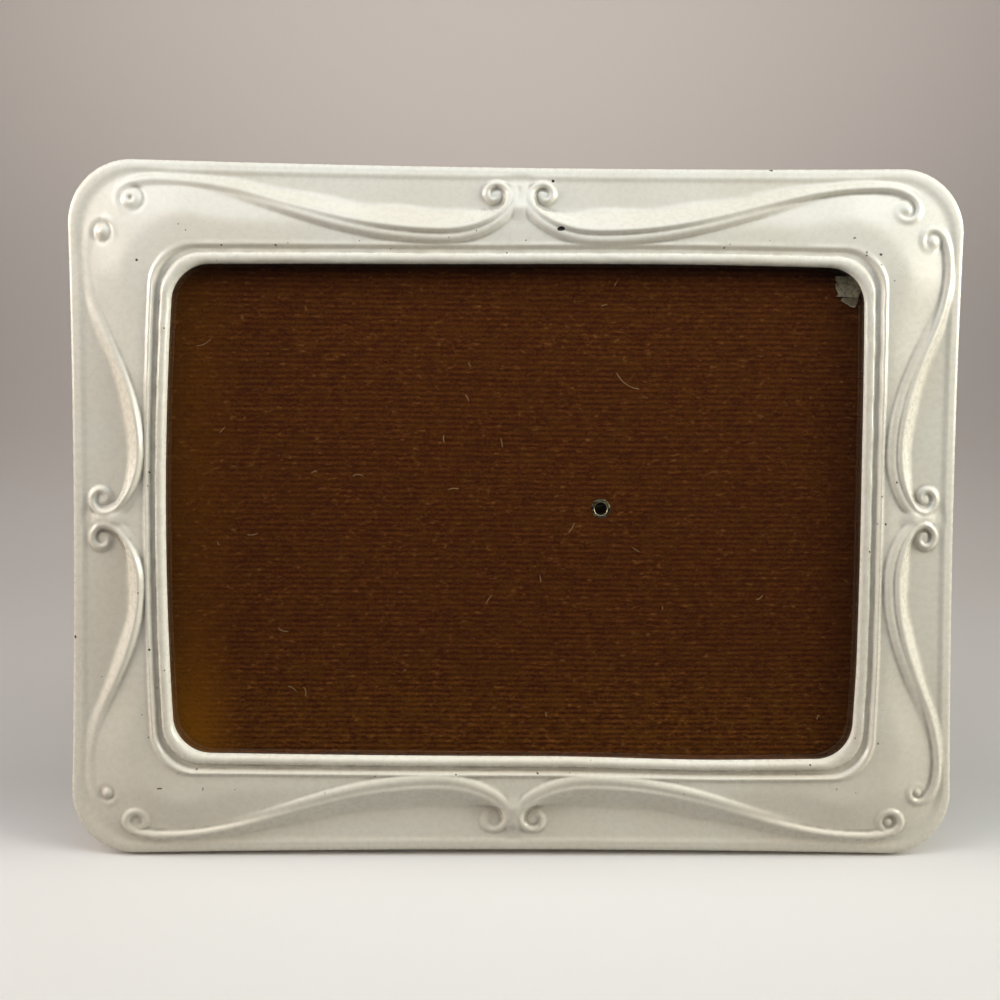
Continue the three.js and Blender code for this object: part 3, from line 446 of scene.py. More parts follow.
def scroll(points, rail, side):
    """One scroll at points given along the rail from its middle and in: rise of its ribs, share of the ground
    that is its hollowed pocket, the pocket's level, and depth of the moat round its eye."""
    line, edge, corner, end_at = scroll_line(rail, side)
    along, depth = points.T
    signed, measures = nearest(points, line)
    apron, roll, half, height, on_edge = measures[:, 2:].T
    sloped = smooth(0, APRON_START, apron)
    start, shoulder = edge[0, 0], edge[-1, 0]
    ends = smooth(start - STEM_BLEND, start + STEM_BLEND, along)
    ends = ends * smooth(shoulder + SHOULDER_BLEND, shoulder - SHOULDER_BLEND, along)
    crest = CREST_HEIGHT * height * rounded(signed, half)
    rise = np.where(signed < 0, crest * (1 - sloped * ends), crest)
    rolled = rounded(signed - ROLL_GAP * np.sqrt(roll), ROLL_HALF)
    rise = blend(rise, ROLL_HEIGHT * smooth(0, ROLL_FULL, roll) * rolled)
    away = np.hypot(along - rail.eye, depth - rail.depth)
    rise = blend(rise, EYE_HEIGHT * end_at.ring * rounded(away, CENTRE_EYE))
    rise = blend(rise, DISH_RISE * smooth(*DISH_EDGE, away))
    away = np.hypot(along - corner, depth - end_at.depth)
    moat = np.zeros(len(points))
    if end_at.eye:
        hollowed = smooth(end_at.bore / 2, end_at.bore * BORE_FLARE + TOUCH, away)
        rise = blend(rise, EYE_HEIGHT * rounded(away, end_at.eye) * hollowed)
        moat = MOAT_DEPTH * rounded(away - end_at.eye - MOAT_HALF, MOAT_HALF)
    crest_depth = np.interp(along, edge[:, 0], edge[:, 1])
    pocket = np.where(on_edge > 0.5, signed < 0, depth < crest_depth) * ends
    tilt = POCKET_RISE if rail.along[0] else SIDE_POCKET_RISE
    floor = lerp(VALLEY_LEVEL, field_at(on_face(points, rail, side)), tilt)
    top = field_at(on_face(measures[:, :2], rail, side)) + CREST_HEIGHT * height * sloped
    ragged = apron * (1 + APRON_RAGGED * np.sin(along * RAGGED_PITCH + rail.eye + side))
    share = np.clip(1 + signed / np.maximum(ragged, APRON_LEAST), 0, 1)
    climb = sloped * share ** 2 * (1 + APRON_FOOT) / (share + APRON_FOOT)
    return rise, pocket, lerp(floor, top, climb), moat


def web(along, depth, rail):
    """Rise of the web that joins a pair of scrolls where their stems meet."""
    start = rail.depth - WEB_BACK
    end = start + WEB_LENGTH
    climb = np.clip((depth - start) / WEB_LENGTH, 0, 1) * smooth(end + WEB_FALL, end - WEB_ROUND, depth)
    return WEB_RISE * climb * smooth(WEB_HALF, WEB_HALF / 3, np.abs(along - rail.middle))


def relief(face_points):
    """All eight scrolls: rise of their ribs, share of the ground that is pocket, its level, and the moats."""
    rise, pocket, floor, moat = np.zeros((4, len(face_points)))
    for rail in RAILS:
        along = face_points @ np.array(rail.along)
        edge = OUTER[1] if rail.along[0] else OUTER[0]
        depth = edge + face_points @ np.array(rail.inward)
        for side in (1, -1):
            local = np.stack((side * (along - rail.middle), depth), 1)
            near = (local[:, 0] > -REACH_BACK) & (side * along < rail.half - REACH_SHORT) & (depth < REACH_IN)
            ribs, hollow, level, dip = scroll(local[near], rail, side)
            rise[near] = blend(rise[near], ribs)
            floor[near] = np.where(hollow > pocket[near], level, floor[near])
            pocket[near] = np.maximum(pocket[near], hollow)
            moat[near] = np.maximum(moat[near], dip)
        rise = blend(rise, web(along, depth, rail))
    return rise, pocket, floor, moat


def hand_made(points, size, seed):
    """Slow unevenness of a casting made by hand, between about -1 and 1."""
    shift = Vector((seed * SEED_ACROSS, seed * SEED_UP, 0))
    return np.array([noise.noise(Vector((x, y, 0)) / size + shift) for x, y in points])


def casting_points():
    """Grid of the casting's front in face millimetres, with the number of its rows and of its ring points."""
    halves, levels, rises = zip(*front_rows())
    across = np.array(halves)[:, :1]
    outset, inset = across - SIGHT[0], OUTER[0] - across
    plan = np.stack([
        uneven(contour(half, *shape_at(half)), smooth(*UNEVEN_BAND, out)) for half, out in zip(halves, outset)
    ])
    count, around = plan.shape[:2]
    flat = plan.reshape(-1, 2)

    def on_grid(values):
        return values.reshape(count, around)

    on_field = (inset > FIELD_START - TOUCH) & (outset > FIELD_END - TOUCH)
    on_ridge = (outset > GROOVE_OUTER - TOUCH) & (outset < FIELD_END + TOUCH)
    on_bead = outset < BEAD_WIDTH + TOUCH
    kept = smooth(*RELIEF_START, inset) * smooth(*RELIEF_END, outset)
    bead = smooth(*BEAD_START, outset) * smooth(*BEAD_END, outset)
    level = np.where(on_field, on_grid(field_at(flat)), np.array(levels)[:, None])
    level = level + FIELD_WAVE * on_grid(hand_made(flat, FIELD_WAVE_SIZE, 1)) * kept
    level = level + BEAD_WAVE * on_grid(hand_made(flat, BEAD_WAVE_SIZE, 2)) * bead
    moulding = np.array(rises)[:, None]
    worn = RIDGE_WORN * smooth(*WORN_EDGE, flat[:, 1] / (SIGHT[1] + RIDGE_CREST))
    worn = worn + RIDGE_WAVE * hand_made(flat, RIDGE_WAVE_SIZE, 3)
    moulding = np.where(on_ridge, moulding * (1 - on_grid(worn)), moulding)
    worn = BEAD_WORN * smooth(*WORN_EDGE, (flat / SIGHT).max(1))
    moulding = np.where(on_bead, moulding * (1 - on_grid(worn)), moulding)
    rise, pocket, floor, moat = map(on_grid, relief(flat))
    height = lerp(level, floor, pocket * kept) + blend(np.maximum(moulding, 0), rise * kept) - moat * kept
    soft = lerp(softened(height, 1), softened(height, 2), kept)
    return np.dstack((plan, soft)), count, around


def softened(height, passes):
    """A ring grid's heights, each evened with its neighbours as thick paint does; the end rows stay."""
    mean = height
    for _ in range(passes):
        rows = (mean[:-2] + mean[1:-1] + mean[2:]) / 3
        inner = (np.roll(rows, 1, 1) + rows + np.roll(rows, -1, 1)) / 3
        mean = np.vstack((mean[:1], inner, mean[-1:]))
    return mean


def boss_points():
    """The four bosses behind, each with its screw hole, as points and faces."""
    profile = (
        (BOSS_RADIUS, BOSS_ROOT), (BOSS_RADIUS, BOSS_END), (BOSS_BORE, BOSS_END), (BOSS_BORE, BOSS_HOLE),
        (BOSS_BORE / 2, BOSS_HOLE), (TOUCH, BOSS_ROOT),
    )
    points, faces = [], []
    for button in (j for j in frame["joints"] if j["name"].startswith("turn_")):
        x, y, _ = INTO_FACE @ Vector(button["pos_m"])
        made, quads = turned(profile, x, y, BOSS_SIDES)
        faces.extend(quads + len(points))
        points.extend(made)
    return points, faces


def cavities(front, total):
    """How far each point of the front lies below those about it; 0 near the rim and behind."""
    deep = (softened(front[:, :, 2], 3) - front[:, :, 2]) * smooth(*SHADE_AND_GRIME_START, OUTER[0] - front[:, :1, 0])
    return np.concatenate((deep.ravel(), np.zeros(total - deep.size)))


def chip_distances(points, front_count, around):
    """Distance from each point to the edge of the nearest chip or pit, negative inside it."""
    choose = random.Random(PIT_SEED)
    rows = np.arange(front_count - PIT_ROWS, front_count - PIT_CLEAR) * around
    places = [points[choose.choice(rows) + choose.randrange(around), :2] for _ in range(PIT_COUNT)]
    pits = [(*place, *[choose.uniform(*PIT_RADII)] * 2) for place in places]
    least = np.full(len(points), NO_CHIP)
    for x, y, long, wide in (*CHIPS, *pits):
        away = np.hypot((points[:, 0] - x) / long, (points[:, 1] - y) / wide) - 1
        least = np.minimum(least, away * min(long, wide))
    return np.where(points[:, 2] > CHIPPED_ABOVE, least, NO_CHIP)


def casting(finish):
    front, front_count, around = casting_points()
    behind = [
        np.column_stack((uneven(contour(half, radius, bow), half[0] == SIGHT[0]), np.full(around, level)))
        for half, radius, bow, level in rear_rows()
    ]
    grid = np.concatenate((front, np.stack(behind)))
    rows = len(grid)
    bosses, boss_faces = boss_points()
    points = np.concatenate((grid.reshape(-1, 3), bosses))
    faces = np.concatenate((ring_faces(rows, around, True), np.array(boss_faces) + rows * around))
    mesh = new_piece("casting", points, faces, finish, "frame", ["cast_frame"]).data
    for vertex in mesh.vertices:
        vertex.co.z = max(vertex.co.z, 0)
    sharpen(mesh, around, front_count, rows)
    set_values(mesh, "cavity", cavities(front, len(points)))
    set_values(mesh, "chip", chip_distances(points, front_count, around))


def sharpen(mesh, around, front_count, rows):
    """Keeps the edges of the casting's rear sharp."""
    ends = np.zeros(len(mesh.edges) * 2, np.int64)
    mesh.edges.foreach_get("vertices", ends)
    row, other_row = ends.reshape(-1, 2).T // around
    sharp = (row == other_row) & (row >= front_count - 1) & (row < rows)
    mesh.attributes.new("sharp_edge", "BOOLEAN", "EDGE").data.foreach_set("value", sharp)


# Facing paper: faint laid ribs, the strength, reach and seed of their unevenness, the sheet's grid, and a
# hole for the rivet in a finer square patch
RIB_PITCH, RIB_DEPTH, RIB_STRENGTH = 1.33, 0.035, 0.6
RIB_DRIFT, RIB_WAVER, RIB_FADE = (0.3, 70, 30, 3), (0.12, 5, 3, 7), (0.4, 4, 2, 11)
PAPER_HIGH = face_box("facing_paper")[1][2]
PAPER_COLUMNS, PAPER_ROWS = 150, 480
PAPER_HOLE, PUCKER, PUCKER_WIDTH = 2.45, 0.12, 0.7
PATCH_HALF, PATCH_SIDES, PATCH_RINGS, PATCH_UNDER = 5.0, 96, 14, 0.01


def wander(x, y, strength, across, up, seed):
    return strength * noise.noise(Vector((x / across, y / up, seed)))


def rib_at(x, y):
    """Height of the laid ribs at a place on the face, from 0 to 1."""
    drift = wander(x, y, *RIB_DRIFT) + wander(x, y, *RIB_WAVER)
    strength = RIB_STRENGTH + wander(x, y, *RIB_FADE)
    return strength * (0.5 + 0.5 * math.cos(math.tau * (y / RIB_PITCH + drift)))


def patch_places():
    """Places of the patch about the rivet, in rings from its round hole out to its square edge."""
    places = []
    for ring in range(PATCH_RINGS):
        for k in range(PATCH_SIDES):
            angle = math.tau * k / PATCH_SIDES
            square = PATCH_HALF / max(abs(math.cos(angle)), abs(math.sin(angle)))
            reach = lerp(PAPER_HOLE, square, ring / (PATCH_RINGS - 1))
            places.append((PIVOT_X + reach * math.cos(angle), PIVOT_Y + reach * math.sin(angle)))
    return places


def facing_paper(finish):
    """A ribbed sheet with a square left out about the rivet, and a round-holed patch in the square."""
    xs = np.linspace(-SHEET[0], SHEET[0], PAPER_COLUMNS)
    ys = np.linspace(-SHEET[1], SHEET[1], PAPER_ROWS)
    places = [(x, y) for y in ys for x in xs]
    cell = np.array((xs[1] - xs[0], ys[1] - ys[0]))
    faces = []
    for k in range(len(places) - PAPER_COLUMNS):
        away = np.abs(places[k] + cell / 2 - (PIVOT_X, PIVOT_Y))
        if (k + 1) % PAPER_COLUMNS and not (away < PATCH_HALF - cell).all():
            faces.append((k, k + 1, k + PAPER_COLUMNS + 1, k + PAPER_COLUMNS))
    first = len(places)
    places += patch_places()
    faces.extend(ring_faces(PATCH_RINGS, PATCH_SIDES, False, first))
    ribs = [rib_at(x, y) for x, y in places]
    points = []
    for k, (x, y) in enumerate(places):
        away = math.hypot(x - PIVOT_X, y - PIVOT_Y)
        pucker = PUCKER * math.exp(-((away - PAPER_HOLE) / PUCKER_WIDTH) ** 2)
        under = PATCH_UNDER if k >= first else 0
        points.append((x, y, PAPER_HIGH - RIB_DEPTH * (1 - ribs[k]) + pucker - under))
    piece = new_piece("ribbed_paper", points, faces, finish, "frame", ["facing_paper"])
    set_values(piece.data, "rib", ribs)


# Torn scrap behind the glass: two ragged, crumpled pieces, each from its corners down its left and right edge
SCRAP_LOW, SCRAP_HIGH = face_box("paper_scrap")
SCRAP_MIDDLE = (SCRAP_LOW[2] + SCRAP_HIGH[2]) / 2
SCRAP_ROWS, SCRAP_COLUMNS, SCRAP_THICKNESS = 34, 26, 0.1
SCRAP_CRUMPLE, CRUMPLE_SIZE, FINE_CRUMPLE, FINE_SIZE = 0.2, 1.7, 0.4, 0.6
SCRAP_RAGGED, RAGGED_SIZE = 0.22, 0.5
FOLD_EDGE = 0.05, 0.2
SCRAP_SEEDS = 11, 21, 31, 41
SCRAP_PIECES = (
    (((0, 0.02), (-0.03, 0.1), (0.04, 0.2), (-0.03, 0.3), (0.03, 0.42), (0.1, 0.56), (0.04, 0.66)),
     ((1, 0), (1.02, 0.1), (1.0, 0.2), (1.04, 0.3), (1.0, 0.42), (0.95, 0.56), (0.86, 0.69))),
    (((0.26, 0.71), (0.2, 0.77), (0.3, 0.83), (0.46, 0.9), (0.6, 0.98)),
     ((0.83, 0.68), (0.86, 0.76), (0.84, 0.84), (0.81, 0.92), (0.76, 1.0))),
)


def torn_edge(corners, seed):
    """Points down a torn edge of the scrap, in face millimetres."""
    corners = np.array(corners)
    shares = np.linspace(0, 1, SCRAP_ROWS)
    stops = np.linspace(0, 1, len(corners))
    place = np.stack([np.interp(shares, stops, corners[:, k]) for k in (0, 1)], 1)
    size = (SCRAP_HIGH - SCRAP_LOW)[:2]
    points = np.array((SCRAP_LOW[0], SCRAP_HIGH[1])) + place * size * (1, -1)
    points[:, 0] += SCRAP_RAGGED * hand_made(points, RAGGED_SIZE, seed)
    return points


def scrap(finish):
    """Two crumpled grids, the second one marked as folded apart from its lower and left edges."""
    points, faces, folded = [], [], []
    across = np.linspace(0, 1, SCRAP_COLUMNS)
    inside = np.minimum.outer(np.linspace(1, 0, SCRAP_ROWS), across)
    for k, (left, right) in enumerate(SCRAP_PIECES):
        left_seed, right_seed, broad_seed, fine_seed = (seed + k for seed in SCRAP_SEEDS)
        starts, ends = torn_edge(left, left_seed), torn_edge(right, right_seed)
        grid = lerp(starts[:, None], ends[:, None], across[None, :, None]).reshape(-1, 2)
        crumple = hand_made(grid, CRUMPLE_SIZE, broad_seed)
        crumple = crumple + FINE_CRUMPLE * hand_made(grid, FINE_SIZE, fine_seed)
        first = len(points)
        points.extend(np.column_stack((grid, SCRAP_MIDDLE + SCRAP_CRUMPLE * crumple)))
        folded.extend(k * smooth(*FOLD_EDGE, inside).ravel())
        for row in range(SCRAP_ROWS - 1):
            for column in range(SCRAP_COLUMNS - 1):
                a = first + row * SCRAP_COLUMNS + column
                faces.append((a, a + SCRAP_COLUMNS, a + SCRAP_COLUMNS + 1, a + 1))
    piece = new_piece("torn_scrap", points, faces, finish, "frame", ["paper_scrap"])
    set_values(piece.data, "folded", folded)
    thick = piece.modifiers.new("thickness", "SOLIDIFY")
    thick.thickness = SCRAP_THICKNESS * MM


# Rivet: a flared eyelet in front, a closed round head behind; radii of bore, barrel, flare and head, height
# of the head, and a small ring that keeps each flat end even
RIVET_BORE, RIVET_BARREL, RIVET_FLARE, RIVET_HEAD, RIVET_HEAD_HEIGHT = 1.45, 1.95, 2.5, 3.4, 0.6
RIVET_MIDDLE, RIVET_SIDES = 0.08, 64


def rivet(finish):
    rear, front = (corner[2] for corner in face_box("pivot_eyelet"))
    head = rear + RIVET_HEAD_HEIGHT
    profile = (
        (TOUCH, head), (RIVET_MIDDLE, head), (RIVET_BORE, head), (RIVET_BORE, front - 0.7),
        (1.5, front - 0.2), (1.68, front + 0.03), (RIVET_BARREL, front + 0.1), (2.25, front + 0.04),
        (2.47, front - 0.14), (RIVET_FLARE, front - 0.38), (RIVET_BARREL, front - 0.4), (RIVET_BARREL, head),
        (RIVET_HEAD, head), (RIVET_HEAD, rear + 0.35), (3.1, rear + 0.12), (2.4, rear), (RIVET_MIDDLE, rear),
        (TOUCH, rear),
    )
    points, faces = turned(profile, PIVOT_X, PIVOT_Y, RIVET_SIDES)
    new_piece("rivet", points, faces, finish, "frame", ["pivot_eyelet"])


# Lint on the paper: fine curved fibres, the first ones listed as x, y, heading and length
LINT_SEED, LINT_COUNT, LINT_RADIUS, LINT_STEPS, LINT_SIDES, LINT_LIFT = 7, 26, 0.045, 10, 4, 0.05
LINT_SPREAD, LINT_CURL = 0.95, 9
LINT_LENGTHS = 0.8, 3.2
LINT_PLACED = ((-79.6, 40.5, 25, 4.5), (24.1, 35.6, -35, 8), (-17.4, 5.5, 5, 3))


def lint(finish):
    choose = random.Random(LINT_SEED)
    fibres = list(LINT_PLACED)
    while len(fibres) < LINT_COUNT:
        place = [choose.uniform(-LINT_SPREAD, LINT_SPREAD) * half for half in SIGHT]
        fibres.append((*place, choose.uniform(-90, 90), choose.uniform(*LINT_LENGTHS)))
    points, faces = [], []
    for x, y, heading, length in fibres:
        curl = choose.uniform(-LINT_CURL, LINT_CURL)
        first = len(points)
        for k in range(LINT_STEPS):
            angle = math.radians(heading + curl * (k - LINT_STEPS / 2))
            x += length / LINT_STEPS * math.cos(angle)
            y += length / LINT_STEPS * math.sin(angle)
            for side in range(LINT_SIDES):
                turn = side * math.tau / LINT_SIDES
                across = LINT_RADIUS * math.cos(turn)
                points.append((x - across * math.sin(angle), y + across * math.cos(angle),
                               PAPER_HIGH + LINT_LIFT + LINT_RADIUS * math.sin(turn)))
        faces.extend(ring_faces(LINT_STEPS, LINT_SIDES, False, first))
        faces.append(range(first + LINT_SIDES - 1, first - 1, -1))
        faces.append(range(len(points) - LINT_SIDES, len(points)))
    new_piece("lint", points, faces, finish, "frame")


# Finishes
class Finish:
    """A node material in the making: each call adds a node and gives its output."""

    def __init__(self, name):
        self.material = bpy.data.materials.new(name)
        self.material.use_nodes = True
        self.tree = self.material.node_tree
        self.shader = self.tree.nodes["Principled BSDF"]
        place = self.node("TexCoord", {}).outputs["Object"]
        turn = FACE.to_3x3().transposed().to_euler()
        settings = {"Vector": place, "Rotation": turn, "Scale": (1 / MM,) * 3}
        self.place = self.node("Mapping", settings).outputs["Vector"]

    def node(self, kind, inputs, **settings):
        made = self.tree.nodes.new("ShaderNode" + kind)
        for key, value in settings.items():
            setattr(made, key, value)
        for key, value in inputs.items():
            self.feed(made.inputs[key], value)
        return made

    def feed(self, socket, value):
        if isinstance(value, bpy.types.NodeSocket):
            self.tree.links.new(value, socket)
        else:
            socket.default_value = value

    def set(self, **inputs):
        """Feeds the shader's sockets; underscores in names stand for spaces."""
        for key, value in inputs.items():
            self.feed(self.shader.inputs[key.replace("_", " ")], value)

    def stretched(self, scale):
        return self.node("Mapping", {"Vector": self.place, "Scale": scale}).outputs["Vector"]

    def noise(self, size, detail=3, roughness=0.55, vector=None, distortion=0):
        """Cloudy noise from 0 to 1, its largest features about size millimetres across."""
        inputs = {"Vector": vector or self.place, "Scale": 1 / size, "Detail": detail,
                  "Roughness": roughness, "Distortion": distortion}
        return self.node("TexNoise", inputs).outputs["Fac"]

    def specks(self, size):
        """Distance to the nearest of scattered points, in cells of size millimetres."""
        return self.node("TexVoronoi", {"Vector": self.place, "Scale": 1 / size}).outputs["Distance"]

    def attribute(self, name):
        return self.node("Attribute", {}, attribute_name=name).outputs["Fac"]

    def ramp(self, value, low, high, to_low=0.0, to_high=1.0):
        inputs = {"Value": value, "From Min": low, "From Max": high, "To Min": to_low, "To Max": to_high}
        return self.node("MapRange", inputs, interpolation_type="SMOOTHSTEP").outputs["Result"]

    def math(self, operation, a, b=0.0):
        made = self.node("Math", {}, operation=operation)
        self.feed(made.inputs[0], a)
        self.feed(made.inputs[1], b)
        return made.outputs[0]

    def times(self, a, b):
        return self.math("MULTIPLY", a, b)

    def plus(self, a, b, weight):
        return self.math("ADD", a, self.times(b, weight))

    def mix(self, factor, a, b):
        made = self.node("Mix", {}, data_type="RGBA")
        for index, value in ((0, factor), (6, a), (7, b)):
            self.feed(made.inputs[index], value)
        return made.outputs[2]

    def surface(self, base, rough, height, depth, **others):
        """Sets the colour, the roughness and a bump from heights of 0 to 1, depth millimetres deep."""
        bump = self.node("Bump", {"Height": height, "Distance": depth * MM}).outputs["Normal"]
        self.set(Base_Color=base, Roughness=rough, Normal=bump, **others)
        return self.material

    def clear_by(self, share):
        """Lets a share of the light straight through."""
        clear = self.node("BsdfTransparent", {}).outputs[0]
        mixed = self.node("MixShader", {0: share, 1: self.shader.outputs[0], 2: clear}).outputs[0]
        self.feed(self.tree.nodes["Material Output"].inputs["Surface"], mixed)


def colour(code):
    """A linear colour from a hexadecimal screen colour."""
    parts = [int(code[k:k + 2], 16) / 255 for k in (0, 2, 4)]
    return (*[p / 12.92 if p <= 0.04045 else ((p + 0.055) / 1.055) ** 2.4 for p in parts], 1)


def ivory_paint():
    f = Finish("ivory_paint")
    broad = f.noise(38, 2)
    fine = f.noise(1.6, 4)
    base = f.mix(f.ramp(broad, 0.35, 0.65), colour("E8E1D2"), colour("E4DBCA"))
    # Painted shade with some grime: darker paint in the creases and hollows of the front, where shade falls
    hollow = f.ramp(f.attribute("cavity"), 0.01, 0.12)
    shade_and_grime = f.times(hollow, f.ramp(f.noise(5, 3), 0.25, 0.7, 0.35, 1))
    base = f.mix(f.times(shade_and_grime, 0.65), base, colour("837A69"))
    pits = f.ramp(f.plus(f.specks(4.6), f.noise(0.5), 0.08), 0.075, 0.055)
    pits = f.times(pits, f.ramp(f.noise(11, 2), 0.5, 0.62))
    base = f.mix(f.times(pits, 0.8), base, colour("5E5548"))
    chip = f.ramp(f.plus(f.attribute("chip"), f.noise(0.7, 4), 0.7), 0.42, 0.3)
    base = f.mix(chip, base, colour("2A241E"))
    rough = f.ramp(fine, 0.3, 0.7, 0.22, 0.34)
    height = f.plus(f.plus(f.times(fine, 0.6), pits, -1.0), chip, -2.0)
    return f.surface(base, rough, height, 0.02, Coat_Weight=0.25, Coat_Roughness=0.18)


def brown_paper():
    f = Finish("brown_paper")
    rib = f.attribute("rib")
    dash = f.noise(0.75, 2, 0.5, f.stretched((0.45, 1, 1)))
    felt = f.noise(0.6, 3, 0.6)
    # The laid ribs' own stripes with painted light and shade: lighter on the ribs' crests, darker in their
    # valleys
    tone = f.plus(f.plus(f.times(rib, 0.32), dash, 0.45), felt, 0.52)
    base = f.mix(f.ramp(tone, 0.4, 0.95), colour("331402"), colour("673911"))
    base = f.mix(f.ramp(f.noise(4, 3), 0.4, 0.68, 0, 0.3), base, colour("523204"))
    place = f.node("SeparateXYZ", {"Vector": f.place}).outputs
    # Painted light: a lighter, yellower band down the paper's left side, where light falls in through the
    # opening
    left_light_band = f.ramp(f.math("ABSOLUTE", place["Y"]), 62, 20, 0.3, 0.75)
    left_light_band = f.times(left_light_band, f.ramp(place["X"], -66, -84))
    base = f.mix(left_light_band, base, colour("804C08"))
    # Painted shadow: the paper darker and redder towards the top, in the shade of the frame's top rail
    base = f.mix(f.ramp(place["Y"], 22, 54, 0, 0.4), base, colour("3A1505"))
    base = f.mix(f.ramp(felt, 0.42, 0.26, 0, 0.7), base, colour("260D02"))
    base = f.mix(f.ramp(dash, 0.62, 0.78, 0, 0.4), base, colour("805430"))
    rough = f.ramp(felt, 0.2, 0.8, 0.8, 0.95)
    return f.surface(base, rough, f.plus(dash, felt, 0.9), 0.14, Specular_IOR_Level=0.05)


def torn_paper():
    f = Finish("scrap_paper")
    crumple_and_shade = f.noise(1.3, 3, 0.6, distortion=0.6)
    fibre = f.noise(0.35, 3, 0.65)
    # Painted shade: the scrap darker along its crumples, from the same noise that bumps it
    base = f.mix(f.ramp(crumple_and_shade, 0.35, 0.65), colour("6E604A"), colour("9C8E76"))
    base = f.mix(f.ramp(fibre, 0.58, 0.74, 0, 0.5), base, colour("B5A88E"))
    base = f.mix(f.times(f.attribute("folded"), 0.75), base, colour("5A4730"))
    return f.surface(base, f.ramp(fibre, 0.2, 0.8, 0.75, 0.95), f.plus(crumple_and_shade, fibre, 0.25), 0.5)


def pane():
    f = Finish("pane")
    f.set(Base_Color=colour("F4F8F6"), Roughness=0.02, IOR=1.5, Transmission_Weight=1.0)
    f.clear_by(f.node("LightPath", {}).outputs["Is Shadow Ray"])
    return f.material


def plain_paper(name, pale, dark, grain):
    f = Finish(name)
    mottle = f.noise(6, 4)
    fibre = f.noise(grain, 4, 0.65)
    base = f.mix(f.ramp(mottle, 0.3, 0.7), colour(dark), colour(pale))
    base = f.mix(f.ramp(fibre, 0.55, 0.75, 0, 0.4), base, colour(pale))
    return f.surface(base, f.ramp(fibre, 0.2, 0.8, 0.7, 0.95), fibre, 0.08)


def metal(name, bright, dull, rough):
    f = Finish(name)
    tarnish = f.noise(3.5, 5, 0.6)
    brush = f.noise(0.5, 3, 0.6, f.stretched((0.06, 1, 1)))
    base = f.mix(f.ramp(tarnish, 0.4, 0.68), colour(bright), colour(dull))
    return f.surface(base, f.ramp(brush, 0.25, 0.75, rough - 0.1, rough + 0.14), brush, 0.01, Metallic=1.0)


# Everything else keeps its shape, with softened edges
EDGE_SEGMENTS, EDGE_ANGLE, PAPER_EDGE, BOARD_EDGE, METAL_EDGE = 2, 35, 0.1, 0.3, 0.15


def dress(nodes, finish, edge=0):
    for name in nodes:
        node = frame["nodes"][name]
        node.data.materials.clear()
        node.data.materials.append(finish)
        if edge:
            bevel = node.modifiers.new("softened", "BEVEL")
            bevel.width = edge * MM
            bevel.segments = EDGE_SEGMENTS
            bevel.limit_method = "ANGLE"
            bevel.angle_limit = math.radians(EDGE_ANGLE)
            bevel.harden_normals = True


def by_slot(slot):
    """Names of the CAD nodes that came with a slot's material."""
    return [name for name, node in frame["nodes"].items() if node.data.materials[0].name == slot]


# Stage: floor and backdrop in metres, colours with their way back and up from the frame's foot, how far out
# it fades away, and how much sooner at the floor's sides and in front
FLOOR_FRONT, FLOOR_BACK, BEND, WALL_TOP, STAGE_HALF, BEND_STEPS = -0.65, 0.2, 0.45, 1.6, 1.6, 24
# Painted shade in the backdrop's colours: pale on the floor, darker low on the backdrop, lighter again higher
# up
BACKDROP = ((-0.04, "E0DDDA"), (0.02, "C4C0BE"), (0.2, "B4AEAB"), (0.4, "ACA4A0"), (0.95, "C0B7B1"))
BOUNCE = "AEACAA"
FADE_START, FADE_END, FADE_LEVEL, FLOOR_FADE, FRONT_FADE = 0.48, 0.85, 0.15, 1.7, 3.6


def sweep(finish):
    """A floor that curves up into a backdrop, as (forward, up) stations drawn out to both sides."""
    angles = np.linspace(0, math.pi / 2, BEND_STEPS)
    bend = [(FLOOR_BACK + BEND * math.sin(a), BEND * (1 - math.cos(a))) for a in angles]
    stations = [(FLOOR_FRONT, 0), *bend, (FLOOR_BACK + BEND, WALL_TOP)]
    points = [(side * STAGE_HALF, y, z) for y, z in stations for side in (-1, 1)]
    faces = [(k, k + 1, k + 3, k + 2) for k in range(0, len(points) - 2, 2)]
    mesh = bpy.data.meshes.new("sweep")
    mesh.from_pydata(points, [], faces, shade_flat=False)
    mesh.materials.append(finish)
    piece = new_object("sweep", mesh)


def stage_finish():
    """Pale floor and backdrop, with bounced light held down as in a wide room, that fade away at the sides
    and in front."""
    f = Finish("backdrop")
    place = f.node("SeparateXYZ", {"Vector": f.node("TexCoord", {}).outputs["Object"]}).outputs
    way = f.math("ADD", place["Y"], place["Z"])
    way = f.plus(way, f.math("SUBTRACT", f.noise(120, 2), 0.5), 0.02)
    # Painted shade: the colours darken from the floor up the backdrop and lighten again higher up
    base = colour(BACKDROP[0][1])
    for (start, _), (end, code) in zip(BACKDROP, BACKDROP[1:]):
        base = f.mix(f.ramp(way, start, end), base, colour(code))
    path = f.node("LightPath", {}).outputs
    seen = f.math("MAXIMUM", path["Is Camera Ray"], path["Is Glossy Ray"])
    seen = f.math("MAXIMUM", seen, path["Is Transmission Ray"])
    base = f.mix(seen, colour(BOUNCE), base)
    f.set(Base_Color=base, Roughness=0.9, Specular_IOR_Level=0.1)
    aside = f.math("ABSOLUTE", place["X"])
    aside = f.times(aside, f.ramp(place["Z"], 0, FADE_LEVEL, FLOOR_FADE, 1))
    reach = f.math("MAXIMUM", aside, f.times(place["Y"], -FRONT_FADE))
    f.clear_by(f.ramp(reach, FADE_START, FADE_END))
    return f.material


